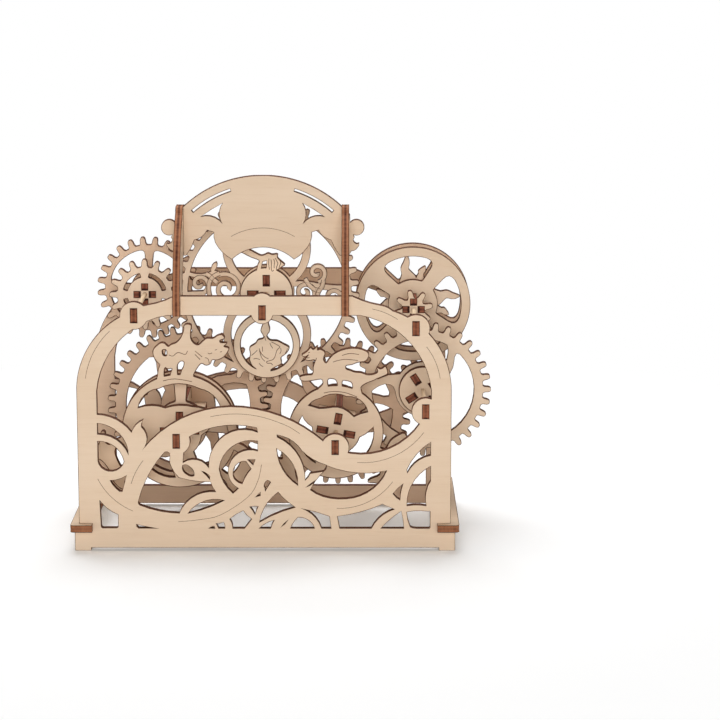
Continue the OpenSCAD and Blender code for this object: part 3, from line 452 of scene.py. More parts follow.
@dataclass(frozen=True)
class PlywoodFinish:
    """Birch plywood: pale veneered faces and edges burnt by the cutting beam."""

    name: str
    pale: Colour = linear("E6CEB4")
    deep: Colour = linear("D2B18E")
    # Painted shade: the sheets' edge brown and dark are deeper than on the plates, fins and tenons, as they
    # also stand for the shade on the cut sides inside the windows.
    brown: Colour = linear("623A27")
    soot_and_shade: Colour = linear("29130A")
    middle: float = 0.25
    rim: float = 0.4
    contrast: float = 0.5
    turn: float = 0.0
    seed: float = 0.0
    seed_way: tuple = (1.0, 0.7, 1.3)
    along_grain: float = 0.06
    through_edge: float = 0.25
    edge_rough: float = 0.82
    face_smooth: float = 0.16
    specular: float = 0.25
    bump: float = 0.2
    relief: float = 0.06 * MM

    def make(self, groups: ShaderGroups, layers: Layers) -> Material:
        """Builds the material of one sheet.

        Args:
            groups: The shared effects.
            layers: How the plies lie in the sheet.

        Returns:
            The material.
        """
        material, n = new_material(self.name)
        coords = n.add("ShaderNodeTexCoord")
        place = coords.outputs["Object"]
        start = [self.seed * part for part in self.seed_way]
        turned = n.mapped(place, Location=start, Rotation=(0.0, math.radians(self.turn), 0.0))
        along = [1.0, 1.0, 1.0]
        along[1 if layers.across is Across.X else 0] = self.along_grain
        grain = n.add("ShaderNodeGroup", {
            "Place": n.mapped(turned, Scale=along), "Pale": self.pale, "Deep": self.deep,
            "Contrast": self.contrast,
        }, node_tree=groups.grain).outputs
        depth, face, border = layers.read(n, place, coords.outputs["Normal"])
        through = [1.0, 1.0, 1.0]
        through[layers.across.value] = self.through_edge
        scorch = n.add("ShaderNodeGroup", {
            "Place": n.mapped(place, Scale=through), "Depth": depth, "Border": border,
            "Brown": self.brown, "Soot and shade": self.soot_and_shade, "Middle": self.middle, "Rim": self.rim,
        }, node_tree=groups.scorch).outputs
        height = n.maths("ADD", grain["Height"], scorch["Height"])
        relief = {"Height": height, "Strength": self.bump, "Distance": self.relief}
        n.surface({
            "Base Color": n.blend(face, scorch["Color"], grain["Color"]),
            "Roughness": n.weigh(self.edge_rough, face, -self.face_smooth),
            "Normal": n.add("ShaderNodeBump", relief).outputs[0],
            "Specular IOR Level": self.specular,
        })
        return material


@dataclass(frozen=True)
class ScorchFinish:
    """Brown line that the beam leaves on a face."""

    name: str
    core: Colour = linear("4C2C1E")
    haze: Colour = linear("7E5640")
    patches: Pattern = Pattern(240.0, 3.0, 0.6, 0.35, 0.65)
    rough: float = 0.9
    specular: float = 0.1

    def make(self) -> Material:
        """Builds the material.

        Returns:
            The material.
        """
        material, n = new_material(self.name)
        patch = self.patches.make(n, n.add("ShaderNodeTexCoord").outputs["Object"])
        colour = n.blend(patch, self.core, self.haze)
        n.surface({"Base Color": colour, "Roughness": self.rough, "Specular IOR Level": self.specular})
        return material


@dataclass(frozen=True)
class StickFinish:
    """Plain round stick of pale wood, with its grain along Y."""

    name: str
    pale: Colour = linear("E9D3B4")
    deep: Colour = linear("C39C70")
    contrast: float = 0.9
    along_grain: float = 0.05
    rough: float = 0.6
    bump: float = 0.3
    relief: float = 0.05 * MM

    def make(self, groups: ShaderGroups) -> Material:
        """Builds the material.

        Args:
            groups: The shared effects.

        Returns:
            The material.
        """
        material, n = new_material(self.name)
        place = n.add("ShaderNodeTexCoord").outputs["Object"]
        grain = n.add("ShaderNodeGroup", {
            "Place": n.mapped(place, Scale=(1.0, self.along_grain, 1.0)), "Pale": self.pale,
            "Deep": self.deep, "Contrast": self.contrast,
        }, node_tree=groups.grain).outputs
        relief = {"Height": grain["Height"], "Strength": self.bump, "Distance": self.relief}
        normal = n.add("ShaderNodeBump", relief).outputs[0]
        n.surface({"Base Color": grain["Color"], "Normal": normal, "Roughness": self.rough})
        return material


def linked(name: str, data: ID) -> Object:
    """Makes an object and links it into the scene.

    Args:
        name: The object's name.
        data: Its mesh, light or camera.

    Returns:
        The object.
    """
    thing = bpy.data.objects.new(name, data)
    bpy.context.scene.collection.objects.link(thing)
    return thing


def baked(thing: Object, *tools: Object) -> Mesh:
    """Turns an object with its modifiers into a plain mesh, and removes what made it.

    Args:
        thing: The object.
        tools: Other objects that its modifiers use.

    Returns:
        The plain mesh.
    """
    bpy.context.view_layer.update()
    depsgraph = bpy.context.evaluated_depsgraph_get()
    mesh = bpy.data.meshes.new_from_object(thing.evaluated_get(depsgraph))
    for used in (thing, *tools):
        data = used.data
        bpy.data.objects.remove(used)
        bpy.data.meshes.remove(data)
    return mesh


def carried(name: str, mesh: Mesh, body: Body) -> Object:
    """Makes a finished piece of a mesh and gives it to its body.

    Args:
        name: Name of the piece and of its mesh.
        mesh: The mesh, with its place in it.
        body: Body that carries the piece.

    Returns:
        The piece.
    """
    mesh.name = name
    piece = linked(name, mesh)
    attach(piece, body.value)
    return piece


def placed(line: Line, at: Point, y: float) -> list[Vector]:
    """Puts a line, drawn in millimetres from a point, at y. Both places are in metres."""
    return [Vector((at[0] + x * MM, y, at[1] + z * MM)) for x, z in line]


def joined(lines: Iterable[Corners]) -> Wire:
    """Gathers open lines.

    Args:
        lines: The points of each line.

    Returns:
        All points, and the pairs of them that follow each other on a line.
    """
    points: list[Vector] = []
    edges: list[tuple[int, int]] = []
    for line in lines:
        start = len(points)
        points += line
        edges += [(i, i + 1) for i in range(start, len(points) - 1)]
    return points, edges


@dataclass
class PathMaker:
    """Geometry Nodes that lay a profile along lines, as burnt threads or as ribbons of sheet.

    The profile is Blender's type name of its node, and sizes are the inputs of that node
    that the tree passes on.
    """

    name: str
    profile: str
    sizes: Sequence[str]
    finish: Material
    slot: str
    round_sides: int = 4

    def __post_init__(self) -> None:
        """Builds the tree."""
        sizes = {size: "Float" for size in self.sizes}
        n, given = new_group(
            self.name, "GeometryNodeTree", {"Geometry": "Geometry", **sizes, "Finish": "Material"},
            {"Geometry": "Geometry"},
        )
        outline = n.add(self.profile, {size: given[size] for size in sizes})
        if "Resolution" in outline.inputs:
            outline.inputs["Resolution"].default_value = self.round_sides
        curve = n.add("GeometryNodeMeshToCurve", {"Mesh": given["Geometry"]})
        tube = n.add("GeometryNodeCurveToMesh", {
            "Curve": curve.outputs[0], "Profile Curve": outline.outputs[0], "Fill Caps": True,
        })
        real = n.add("GeometryNodeRealizeInstances", {"Geometry": tube.outputs[0]})
        paint = n.add("GeometryNodeSetMaterial", {"Geometry": real.outputs[0], "Material": given["Finish"]})
        n.add("NodeGroupOutput", {"Geometry": paint.outputs[0]})
        self.tree = n.tree

    def lay(self, name: str, body: Body, wire: Wire, *sizes: float) -> None:
        """Makes a piece of the profile along some lines, inside the CAD's box.

        Args:
            name: Name of the piece.
            body: Body that carries the piece.
            wire: Corners of the lines, in metres, and the pairs of them that a line joins.
            sizes: The profile's sizes, in metres.
        """
        mesh = bpy.data.meshes.new("wire")
        mesh.from_pydata(*wire, [])
        carrier = linked("carrier", mesh)
        modifier = carrier.modifiers.new("paths", "NODES")
        modifier.node_group = self.tree
        values = {**dict(zip(self.sizes, sizes)), "Finish": self.finish}
        for socket in self.tree.interface.items_tree:
            if socket.in_out == "INPUT" and socket.name in values:
                modifier[socket.identifier] = values[socket.name]
        mesh = baked(carrier)
        shell = bmesh.new()
        shell.from_mesh(mesh)
        bmesh.ops.recalc_face_normals(shell, faces=shell.faces)
        for corner in shell.verts:
            corner.co = [min(max(v, low), high) for v, low, high in zip(corner.co, *CAD_BOX)]
        shell.to_mesh(mesh)
        shell.free()
        carried(name, mesh, body)
        LOG.info("%s: %d edges", name, len(wire[1]))


def arc_through(a: Point, b: Point, c: Point, steps: int = 10) -> list[Point]:
    """Arc from a to c by way of b. The three don't lie on one straight line.

    Args:
        a: First point.
        b: A point on the way.
        c: Last point.
        steps: Number of straight pieces.

    Returns:
        The arc's points, ends included.
    """
    (ax, ay), (bx, by), (cx, cy) = a, b, c
    d = 2 * (ax * (by - cy) + bx * (cy - ay) + cx * (ay - by))
    aa, bb, cc = ax * ax + ay * ay, bx * bx + by * by, cx * cx + cy * cy
    ox = (aa * (by - cy) + bb * (cy - ay) + cc * (ay - by)) / d
    oy = (aa * (cx - bx) + bb * (ax - cx) + cc * (bx - ax)) / d
    r = math.hypot(ax - ox, ay - oy)
    start, mid, end = (math.atan2(y - oy, x - ox) for x, y in (a, b, c))
    mid, end = (mid - start) % math.tau, (end - start) % math.tau
    sweep = end if mid < end else end - math.tau
    return [(ox + r * math.cos(start + sweep * i / steps), oy + r * math.sin(start + sweep * i / steps))
            for i in range(steps + 1)]


def soft_line(points: Line, steps: int = 4) -> list[Point]:
    """Smooth open line through the given points.

    Args:
        points: Points that the line passes.
        steps: Pieces between two of them.

    Returns:
        The line's points.
    """
    pts = [points[0], *points, points[-1]]
    out: list[Point] = []
    for i in range(1, len(pts) - 2):
        p, q, r, s = pts[i - 1 : i + 3]
        for k in range(steps):
            t = k / steps
            out.append(tuple(
                0.5 * (2 * q[j] + (r[j] - p[j]) * t + (2 * p[j] - 5 * q[j] + 4 * r[j] - s[j]) * t * t
                       + (3 * q[j] - p[j] - 3 * r[j] + s[j]) * t**3) for j in (0, 1)))
    out.append(points[-1])
    return out


def beside(line: Line, off: float) -> list[Point]:
    """Line that runs at a distance from another one.

    Args:
        line: The line's points.
        off: Distance to its left.

    Returns:
        The new line's points.
    """
    out: list[Point] = []
    for i, (x, y) in enumerate(line):
        (ax, ay), (bx, by) = line[max(i - 1, 0)], line[min(i + 1, len(line) - 1)]
        far = math.hypot(bx - ax, by - ay) or 1.0
        out.append((x - (by - ay) / far * off, y + (bx - ax) / far * off))
    return out


def thin_axis(node: str) -> int:
    """Returns the number of the axis along which a CAD node is thinnest."""
    low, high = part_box(node)
    return min(range(3), key=lambda i: high[i] - low[i])


@dataclass
class SubAssembly:
    """A group of CAD sheets on one body, with what is drawn on them.

    The flat sheets come with their plywood. Each is cut across its thin side. A sheet that
    is cut again keeps its new mesh in recut.
    """

    body: Body
    groups: ShaderGroups
    threads: PathMaker
    sheets: dict[str, PlywoodFinish] = field(default_factory=dict)
    recut: dict[str, Mesh] = field(default_factory=dict)
    tooth_radius: float = 0.12 * MM
    plate_radius: float = 0.12 * MM
    score_radius: float = 0.18 * MM
    score_sink: float = 0.09 * MM

    def dress(self) -> None:
        """Gives the flat sheets their plywood."""
        for node, finish in self.sheets.items():
            axis = thin_axis(node)
            low, high = (corner[axis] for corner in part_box(node))
            self.dress_sheet(node, finish, FlatSheet(Across(axis), low, high - low))

    def draw(self) -> None:
        """Draws the scorched outlines of the flat sheets, but not of the spindle's bores."""
        toothed = [node for node in self.sheets if node.endswith(("gear", "pinion"))]
        plain = [node for node in self.sheets if node not in toothed]
        bores = [at for body, at in SPINDLES.items() if body == self.body.value]
        for kind, nodes, radius in (
            ("teeth", toothed, self.tooth_radius), ("outline", plain, self.plate_radius),
        ):
            if nodes:
                self.outline(f"scorched_{kind}_{self.body.value}", nodes, radius, bores)

    def dress_sheet(self, node: str, finish: PlywoodFinish, layers: Layers) -> None:
        """Gives one CAD node its plywood.

        Args:
            node: Name of the CAD node.
            finish: Its plywood.
            layers: How its plies lie.
        """
        material = finish.make(self.groups, layers)
        material.name = f"{finish.name}_{node}"
        for slot in frame["nodes"][node].material_slots:
            slot.material = material

    def outline(self, name: str, nodes: Iterable[str], radius: float, bores: Line) -> None:
        """Adds the scorched outline of the faces of some sheets.

        Args:
            name: Name of the piece.
            nodes: Names of the CAD nodes.
            radius: Thread radius, in metres.
            bores: Middles of the bores that get no outline, as x and z in metres.
        """
        wire = self._weld([end for node in nodes for end in self._face_edges(node, bores)])
        self.threads.lay(name, self.body, wire, radius)

    def _face_edges(self, node: str, bores: Line) -> list[Vector]:
        """Finds the edges between the faces and the cut sides of a sheet.

        Args:
            node: Name of the CAD node.
            bores: Middles of the bores that are left out, as x and z in metres.

        Returns:
            Ends of the edges, two for each.
        """
        thin = thin_axis(node)
        faces = [corner[thin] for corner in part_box(node)]
        shell = bmesh.new()
        shell.from_mesh(self.recut.get(node) or frame["nodes"][node].data)
        bmesh.ops.remove_doubles(shell, verts=shell.verts, dist=SAME_PLACE)
        ends: list[Vector] = []
        for edge in shell.edges:
            if len(edge.link_faces) != 2 or edge.calc_length() < SHORTEST_EDGE:
                continue
            first, second = (side.normal for side in edge.link_faces)
            a, b = (corner.co for corner in edge.verts)
            on_face = any(max(abs(a[thin] - v), abs(b[thin] - v)) < ON_FACE for v in faces)
            in_bore = any(math.hypot(a.x - x, a.z - z) < BORE_REACH for x, z in bores)
            if on_face and not in_bore and first.angle(second, 0.0) >= SHARP_EDGE:
                ends += [a.copy(), b.copy()]
        shell.free()
        return ends

    @staticmethod
    def _weld(ends: Corners) -> Wire:
        """Joins loose edges whose ends fall together, and drops edges that repeat.

        Args:
            ends: Ends of the edges, two for each.

        Returns:
            The corners and the edges between them.
        """
        seen: dict[tuple[int, ...], int] = {}
        kept: list[Vector] = []
        index: list[int] = []
        for end in ends:
            key = tuple(round(v / WELD_GRID) for v in end)
            if key not in seen:
                seen[key] = len(kept)
                kept.append(end)
            index.append(seen[key])
        pairs = {(min(pair), max(pair)) for pair in zip(index[::2], index[1::2])}
        return kept, sorted(pair for pair in pairs if pair[0] != pair[1])

    def score(self, name: str, drawn: Sequence[Line], y: float, at: Point = (0.0, 0.0)) -> None:
        """Adds scored lines on the front face of a sheet.

        Args:
            name: Name of the piece.
            drawn: Lines as x and z from the given point, in millimetres.
            y: The face's place along Y, in metres.
            at: The point that the lines are drawn from, in metres.
        """
        lines = [placed(line, at, y + self.score_sink) for line in drawn]
        self.threads.lay(name, self.body, joined(lines), self.score_radius)


FRONT = PlywoodFinish("birch_front")
# Painted light: CENTRE and DANCER are paler copies of the front birch, so that the wheels, ribbons and
# figure plate, which lie deep and get less light, look as bright as the front.
CENTRE = PlywoodFinish(
    "birch_wheel", pale=linear("EFD7BD"), deep=linear("DDB998"), seed=0.31, turn=90.0)
DANCER = PlywoodFinish("birch_dancer", pale=linear("F2DDC4"), deep=linear("E2C4A2"), seed=0.44)
# Painted shade: REAR is a slightly darker, pinker copy of the front birch, for the rear layers that lie in
# shade.
REAR = PlywoodFinish("birch_rear", pale=linear("EACCB0"), deep=linear("D6AE8D"), seed=0.57)
PLATE = PlywoodFinish(
    "birch_plate", brown=linear("A26A48"), soot_and_shade=linear("4A2214"), middle=0.3, rim=1.0)
FIN = PlywoodFinish(
    "burnt_fin", brown=linear("A8704F"), soot_and_shade=linear("4A2214"), middle=0.75, rim=0.1, seed=0.83)
# Painted shade: blocks and strips take the full rim, whose dark colour is burnt ply and also the shade in
# the slots round them.
TENON = PlywoodFinish(
    "burnt_tenon_and_slot_shade", brown=linear("975A3E"), soot_and_shade=linear("30130A"), middle=0.4, rim=1.0, seed=0.91)
STRIP = PlywoodFinish(
    "burnt_strip_and_slot_shade", brown=linear("925640"), soot_and_shade=linear("30130A"), middle=0.45, rim=1.0, seed=0.97)
THICK = 3 * MM
TENON_TALL = 6.4 * MM
NARROW_HUB: Point = (1.9 * MM, 5.0 * MM)
WIDE_HUB: Point = (3.6 * MM, 8.6 * MM)
SPINDLES: dict[str, Point] = {
    joint["child"]: (joint["pos_m"][0], joint["pos_m"][2])
    for joint in frame["record"]["behaviour"]["joints"]
}


@dataclass
class Theatre(SubAssembly):
    """Standing frame: panels, base, fins, header, bearing blocks and sticks.

    Lines are x and z in millimetres, moved by shift. An arch is an arc through three
    points. The header's bite is the middle and the radius of the arch of its lower edge,
    and the header's arc is drawn above it.
    """

    shift: float = 0.5
    arches: tuple = (
        ((-67, 98), (-74.2, 88.6), (-78, 77)),
        ((46.5, 107.6), (52.3, 105.8), (57.5, 103)),
        ((70, 91), (73.9, 84.4), (76, 77)),
        ((-73.5, 32.3), (-67.6, 24), (-58.3, 17.8)),
        ((-53.5, 40.5), (-56.8, 35.4), (-58.9, 30.1)),
        ((-24, 60), (-10, 61.2), (5, 57.8)),
        ((40, 39.6), (55, 42), (69, 53)),
        ((31, 19), (45, 22), (55.5, 31)),
    )
    flows: tuple = (
        ((5, 57.8), (10.2, 55.6), (15, 52.5)),
        ((-38.5, 13), (-30, 13.8), (-20, 16), (-8, 24), (-3.6, 31), (-1.8, 38.7)),
    )
    header_bite: tuple = (-1.1, 110.62, 20.08)
    header_arc: tuple = ((-14, 135.4), (0, 139.2), (14, 135.4))
    bite_sides: int = 256

    def dress(self) -> None:
        """Dresses the flat sheets, the bearing blocks and the sticks."""
        super().dress()
        self.arch_header()
        row = BlockRow(sorted(SPINDLES.values()), THICK, TENON_TALL)
        for node in ("front_bearings", "rear_bearings"):
            self.dress_sheet(node, TENON, row)
        stick = StickFinish("stick").make(self.groups)
        for name in ("crank", "right", "dragon", "beast", "left", "centre"):
            for slot in frame["nodes"][f"{name}_stick"].material_slots:
                slot.material = stick

    def arch_header(self) -> None:
        """Cuts the header's lower edge to its arch, on a piece that stands for the CAD node."""
        node = "header_board"
        board = frame["nodes"][node]
        x, z, radius = (v * MM for v in self.header_bite)
        low, high = (corner[1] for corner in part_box(node))
        blank, drum = (linked(name, bpy.data.meshes.new(name)) for name in ("blank", "drum"))
        shell = bmesh.new()
        shell.from_mesh(board.data)
        bmesh.ops.remove_doubles(shell, verts=shell.verts, dist=SAME_PLACE)
        shell.to_mesh(blank.data)
        shell.clear()
        turn = Matrix.Translation((x, (low + high) / 2, z)) @ Matrix.Rotation(math.pi / 2, 4, "X")
        bmesh.ops.create_cone(shell, cap_ends=True, segments=self.bite_sides, radius1=radius,
                              radius2=radius, depth=4 * (high - low), matrix=turn)
        shell.to_mesh(drum.data)
        shell.free()
        bite = blank.modifiers.new("bite", "BOOLEAN")
        bite.operation = "DIFFERENCE"
        bite.solver = "EXACT"
        bite.object = drum
        cut = baked(blank, drum)
        cut.materials.clear()
        cut.materials.append(board.material_slots[0].material)
        piece = carried("arched_header", cut, self.body)
        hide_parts(node)
        self.recut[node] = cut

    def draw(self) -> None:
        """Draws the lines and the outlines."""
        drawn = [arc_through(*arch) for arch in self.arches] + [soft_line(flow) for flow in self.flows]
        lines = [[(x + self.shift, z) for x, z in line] for line in drawn]
        self.score("scored_lines_front_panel", lines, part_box("front_panel")[0][1])
        arc = [(x + self.header_bite[0], z) for x, z in arc_through(*self.header_arc, 16)]
        self.score("scored_arc_header", [arc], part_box("header_board")[0][1])
        super().draw()


@dataclass
class Wheel(SubAssembly):
    """A turning set: its plates and gears, hub strips and drawings.

    A drawing holds lines as x and z from the spindle, in millimetres. A hub is where its
    strips start and end, counted from the spindle in metres.
    """

    plate_radius: float = 0.18 * MM
    score_radius: float = 0.26 * MM
    score_sink: float = 0.12 * MM
    strips: str = ""
    strip_turn: float = 0.0
    hub: Point = WIDE_HUB
    plate: str = ""
    drawing: tuple = ()

    @property
    def at(self) -> Point:
        """Place of the spindle, as x and z in metres."""
        return SPINDLES[self.body.value]

    def dress(self) -> None:
        """Dresses the plates, gears and strips of the set."""
        super().dress()
        self.dress_sheet(self.strips, STRIP, HubCross(self.at, self.strip_turn, THICK, *self.hub))

    def draw(self) -> None:
        """Draws the outlines and the lines on the plate."""
        super().draw()
        if self.drawing:
            lines = [soft_line(line) for line in self.drawing]
            self.score(f"scored_lines_{self.plate}", lines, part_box(self.plate)[0][1], self.at)


@dataclass
class ScrollWheel(Wheel):
    """Centre wheel, whose scrolls get their full breadth and their stems.

    Ribbons stand proud of the gear, each by a layer more than the last, so that no two
    faces fall together. A scroll is the x and z of its eye and the radius of its outer
    edge, in millimetres, then where it starts and how far it turns, in degrees.
    """

    gear: str = "centre_gear"
    proud: float = 0.12 * MM
    layer: float = 0.012 * MM
    scroll_line: float = 0.15 * MM
    breadth: float = 1.9
    eye: float = 0.27
    least_share: float = 0.3
    scroll_steps: int = 48
    scrolls: tuple = (
        (-30.6, 3.6, 5.4, -60, 420),
        (-18.5, 1.4, 8.0, 120, -500),
        (22.6, 8.8, 5.4, -80, 420),
        (17.2, -0.4, 5.8, -40, 480),
        (30.0, -2.6, 5.0, -20, 420),
    )
    stems: tuple = (
        ((-27.6, 8.3), (-25.8, 7.2), (-24.2, 5.6), (-22.6, 4.2)),
        ((-21.4, 8.6), (-24.2, 7.0), (-26.0, 4.4), (-26.4, 0.8), (-25.8, -2.6)),
        ((17.4, 6.0), (19.2, 3.2), (21.6, 1.2), (24.4, 0.4)),
        ((25.8, 5.4), (25.2, 2.6), (23.8, 0.6), (22.6, -2.4)),
    )

    def draw(self) -> None:
        """Draws the lines, then lays the ribbons over the thin scrolls."""
        super().draw()
        low, high = (corner[1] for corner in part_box(self.gear))
        finish = CENTRE.make(self.groups, FlatSheet(Across.Y, low, high - low))
        paths = [self._scroll(*scroll) for scroll in self.scrolls]
        paths += [soft_line(stem) for stem in self.stems]
        middle, thick = (low + high) / 2, high - low + 2 * self.proud
        middles = [placed(path, self.at, middle - k * self.layer) for k, path in enumerate(paths)]
        band = "GeometryNodeCurvePrimitiveQuadrilateral"
        ribbons = PathMaker("ribbon_on_line", band, ("Width", "Height"), finish, "birch_rear")
        ribbons.lay("scroll_ribbons", self.body, joined(middles), thick, self.breadth * MM)
        top = low - self.proud + self.tooth_radius / 2
        rims = [placed(beside(path, side * self.breadth / 2), self.at, top - k * self.layer)
                for k, path in enumerate(paths) for side in (-1, 1)]
        self.threads.lay("scorched_scrolls", self.body, joined(rims), self.scroll_line)

    def _scroll(self, x: float, z: float, radius: float, start: float, sweep: float) -> list[Point]:
        """Middle of a scroll's ribbon, from its outer end to its eye.

        Args:
            x: Place of the eye across, in millimetres.
            z: Place of the eye upwards, in millimetres.
            radius: Radius of the scroll's outer edge, in millimetres.
            start: Where the outer end lies, in degrees.
            sweep: Turn to the eye, in degrees.

        Returns:
            The line's points.
        """
        line: list[Point] = []
        for i in range(self.scroll_steps + 1):
            share = i / self.scroll_steps
            r = radius * (1 + (self.eye - 1) * share) - self.breadth / 2
            if r < self.breadth * self.least_share:
                break
            angle = math.radians(start + sweep * share)
            line.append((x + r * math.cos(angle), z + r * math.sin(angle)))
        return line


@dataclass(frozen=True)
class Lamp:
    """A soft square lamp, with its place and its side in metres and its power in watts."""

    name: str
    at: tuple
    side: float
    power: float

    def hang(self, target: Sequence[float]) -> None:
        """Adds the lamp to the scene.

        Args:
            target: The point that it looks at, in metres.
        """
        data = bpy.data.lights.new(self.name, "AREA")
        data.size = self.side
        data.energy = self.power
        lamp = linked(self.name, data)
        lamp.location = self.at
        lamp.rotation_euler = (Vector(target) - Vector(self.at)).to_track_quat("-Z", "Y").to_euler()


@dataclass
class Studio:
    """Floor, backdrop, lamps and camera.

    Sizes are in metres, but the camera's place, lens and sensor are in millimetres, and
    its pitch in degrees. Close to the object the paper keeps its shadow, and past the
    shadow's reach it shows plain white. The air is brighter at the horizon than overhead.
    """

    camera_at: tuple = (41.7, -1106.5, 286.6)
    pitch: float = 10.714
    lens: float = 125.0
    sensor: float = 36.0
    sight: float = 20.0
    floor_size: float = 6.0
    floor_front: float = -4.5
    floor_back: float = 2.2
    floor_sink: float = 0.02 * MM
    bend: float = 0.8
    bend_steps: int = 16
    backdrop_top: float = 4.0
    shadow_reach: tuple = (0.2, 0.42)
    paper_held: Colour = (0.8, 0.79, 0.775)
    paper_lit: Colour = (0.86, 0.87, 0.89)
    paper_own: Colour = (0.2, 0.19, 0.17)
    black: Colour = (0.0, 0.0, 0.0)
    white: Colour = (1.0, 1.0, 1.0)
    world_low: float = 0.4
    world_high: float = 0.096
    world_fade: tuple = (0.0, 0.8)
    lamps: tuple = (
        Lamp("front_lamp", (0.05, -1.9, 0.5), 1.0, 20.5),
        Lamp("top_lamp", (-0.05, 0.35, 1.05), 0.8, 11.0),
    )
    lit_point: tuple = (0.0, 0.0, 0.08)

    @staticmethod
    def _seen(n: Nodes) -> NodeSocket:
        """Makes a socket that is 1 for what the camera, a reflection or glass shows.

        Args:
            n: Nodes of the tree.

        Returns:
            The socket.
        """
        rays = n.add("ShaderNodeLightPath").outputs
        mirrored = n.maths("MAXIMUM", rays["Is Glossy Ray"], rays["Is Transmission Ray"])
        return n.maths("MAXIMUM", rays["Is Camera Ray"], mirrored)

    def _paper(self) -> Material:
        """Builds the paper of the floor and the backdrop.

        Returns:
            The material.
        """
        material, n = new_material("studio_paper")
        place = n.add("ShaderNodeTexCoord").outputs["Object"]
        away = n.add("ShaderNodeVectorMath", {0: place}, operation="LENGTH")
        far = n.spread(away.outputs["Value"], *self.shadow_reach)
        held = n.add("ShaderNodeBsdfDiffuse", {"Color": self.paper_held})
        lit = n.add("ShaderNodeBsdfDiffuse", {"Color": n.blend(far, self.paper_lit, self.black)})
        glow = n.add("ShaderNodeEmission", {"Color": n.blend(far, self.paper_own, self.white)})
        both = n.add("ShaderNodeAddShader", {0: lit.outputs[0], 1: glow.outputs[0]})
        picked = {0: self._seen(n), 1: held.outputs[0], 2: both.outputs[0]}
        pick = n.add("ShaderNodeMixShader", picked)
        n.add("ShaderNodeOutputMaterial", {"Surface": pick.outputs[0]})
        return material

    def floor(self) -> None:
        """Makes the floor, which curves up to a backdrop far behind."""
        turns = [math.pi / 2 * i / self.bend_steps for i in range(self.bend_steps + 1)]
        rows = [(self.floor_front, 0.0)]
        back, bend = self.floor_back, self.bend
        rows += [(back + bend * math.sin(a), bend * (1 - math.cos(a))) for a in turns]
        rows.append((back + bend, self.backdrop_top))
        half = self.floor_size / 2
        verts = [(x, y, z - self.floor_sink) for y, z in rows for x in (-half, half)]
        faces = [(2 * i, 2 * i + 1, 2 * i + 3, 2 * i + 2) for i in range(len(rows) - 1)]
        mesh = bpy.data.meshes.new("studio_floor")
        mesh.from_pydata(verts, [], faces)
        mesh.materials.append(self._paper())
        floor = linked("studio_floor", mesh)

    def world(self) -> None:
        """Makes a pale surround that looks white behind the object."""
        world = bpy.data.worlds.new("studio_air")
        bpy.context.scene.world = world
        world.use_nodes = True
        world.node_tree.nodes.clear()
        n = Nodes(world.node_tree)
        up = n.split(n.add("ShaderNodeTexCoord").outputs["Generated"])[2]
        rise = n.spread(up, *self.world_fade)
        level = n.weigh(self.world_low, rise, self.world_high - self.world_low)
        strength = n.maths("MAXIMUM", self._seen(n), level)
        air = n.add("ShaderNodeBackground", {"Color": self.white, "Strength": strength})
        n.add("ShaderNodeOutputWorld", {"Surface": air.outputs[0]})

    def camera(self) -> None:
        """Puts the camera where the photograph was taken from."""
        data = bpy.data.cameras.new("camera")
        data.lens = self.lens
        data.sensor_width = self.sensor
        data.sensor_fit = "HORIZONTAL"
        data.clip_end = self.sight
        camera = linked("camera", data)
        camera.location = [v * MM for v in self.camera_at]
        camera.rotation_euler = (math.radians(90.0 - self.pitch), 0.0, 0.0)
        bpy.context.scene.camera = camera

    def build(self) -> None:
        """Builds the whole studio."""
        bpy.context.scene.view_settings.view_transform = "Standard"
        self.camera()
        self.floor()
        self.world()
        for lamp in self.lamps:
            lamp.hang(self.lit_point)


DRAGON_LINES = (
    ((2.8, 35.0), (6.4, 35.9), (10.4, 35.4)),
    ((-1.2, 32.0), (1.9, 32.9), (5.0, 33.2), (10.0, 32.7)),
    ((-13.2, 33.8), (-11.7, 34.0)),
    ((-12.3, 36.1), (-11.5, 36.5)),
    ((-8.6, 33.9), (-9.0, 32.6), (-10.2, 31.4)),
    ((-5.3, 17.9), (-1.2, 18.6), (4.1, 18.1), (9.5, 16.1)),
)
BEAST_LINES = (
    ((-4.2, 34.4), (-2.5, 33.9), (-0.2, 35.5), (2.9, 34.6), (4.0, 36.2)),
    ((7.3, 36.2), (10.4, 33.5)),
    ((7.3, 34.6), (9.5, 32.3)),
    ((13.0, 35.3), (13.7, 34.9), (14.8, 35.3)),
    ((16.1, 36.6), (17.0, 36.8)),
    ((18.3, 35.7), (19.2, 35.9)),
    ((11.7, 33.2), (13.0, 32.6), (13.6, 30.5)),
    ((-7.0, 22.7), (-1.7, 23.6), (5.8, 22.4)),
)
DANCER_LINES = (
    ((-3.4, -25.0), (-2.8, -26.8), (-1.9, -28.0), (-0.8, -29.0), (0.8, -29.8)),
    ((-3.3, -25.9), (-2.8, -27.8), (-2.2, -29.4), (-0.9, -30.9)),
    ((-2.0, -24.1), (-1.9, -26.4)),
    ((-6.9, -28.2), (-5.6, -27.1), (-4.3, -25.8)),
    ((-6.0, -29.9), (-4.9, -29.6), (-3.1, -30.1)),
    ((-3.5, -31.7), (-2.9, -32.6), (-1.7, -33.4)),
    ((2.2, -22.0), (3.8, -22.8), (5.4, -23.7), (6.0, -24.4), (4.7, -25.7), (4.1, -27.5), (3.5, -29.2),
     (2.6, -30.2), (1.0, -30.7), (-0.1, -31.1), (0.3, -31.8), (1.8, -31.8), (2.6, -32.6)),
    ((1.5, -22.5), (2.0, -23.8), (2.8, -24.9)),
    ((6.3, -24.8), (6.5, -26.2), (5.9, -27.4)),
    ((9.4, -25.0), (9.0, -26.2), (8.3, -27.3)),
    ((-1.0, -19.2), (-0.7, -20.4), (-0.3, -21.4)),
)
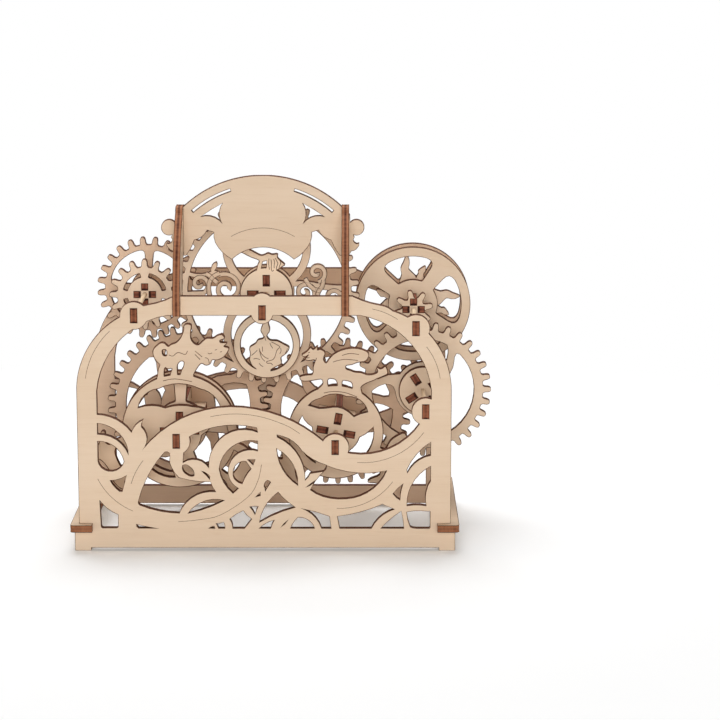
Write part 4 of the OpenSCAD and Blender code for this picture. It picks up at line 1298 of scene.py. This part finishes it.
BIRD_LINES = (
    ((1.3, 16.2), (1.1, 14.2), (1.3, 12.6), (1.5, 11.2)),
    ((2.2, 15.8), (2.4, 14.2), (2.3, 11.9), (2.7, 10.4), (3.4, 11.0)),
    ((3.4, 16.0), (3.8, 14.6), (3.6, 13.0), (3.6, 11.9)),
    ((4.2, 16.5), (4.7, 15.3), (5.3, 14.0), (4.8, 12.6), (4.6, 11.2)),
    ((5.2, 16.5), (6.2, 15.3), (6.6, 14.1), (6.1, 13.0), (5.8, 11.8)),
)


def main() -> None:
    """Builds the scene, one sub-assembly after the other."""
    logging.basicConfig(level=logging.INFO, format="%(name)s: %(message)s")
    groups = ShaderGroups()
    Studio().build()
    burn = ScorchFinish("scorched_line").make()
    ring = "GeometryNodeCurvePrimitiveCircle"
    threads = PathMaker("thread_on_line", ring, ("Radius",), burn, "burnt_edge")
    assemblies: list[SubAssembly] = [
        Theatre(Body.THEATRE, groups, threads,
                {"front_panel": FRONT, "rear_panel": REAR, "header_board": FRONT,
                 "base_plate_left": PLATE, "base_plate_right": PLATE, "fin_left": FIN,
                 "fin_right": FIN}),
        Wheel(Body.FLYWHEEL, groups, threads,
              {"flywheel_front": FRONT, "flywheel_rear": REAR, "sun_disc": CENTRE,
               "crank_pinion": FRONT},
              strips="crank_strips", hub=NARROW_HUB, plate_radius=0.12 * MM),
        Wheel(Body.RIGHT, groups, threads,
              {"right_gear": FRONT, "moon_plate": FRONT, "idle_pinion": REAR},
              strips="right_strips", strip_turn=33.0),
        Wheel(Body.DRAGON, groups, threads, {"dragon_plate": FRONT, "dragon_gear": REAR},
              strips="dragon_strips", strip_turn=80.0, plate="dragon_plate", drawing=DRAGON_LINES),
        Wheel(Body.BEAST, groups, threads,
              {"beast_plate": FRONT, "beast_ring": CENTRE, "beast_gear": REAR},
              strips="beast_strips", plate="beast_plate", drawing=BEAST_LINES),
        Wheel(Body.LEFT, groups, threads, {"left_front_gear": CENTRE, "left_rear_gear": REAR},
              strips="left_strips", hub=NARROW_HUB),
        ScrollWheel(Body.CENTRE, groups, threads, {"figure_plate": DANCER, "centre_gear": CENTRE},
                    strips="centre_strips", plate="figure_plate", drawing=DANCER_LINES + BIRD_LINES),
    ]
    for assembly in assemblies:
        assembly.dress()
        assembly.draw()
        LOG.info("%s dressed", assembly.body.value)


if __name__ == "__main__":
    main()
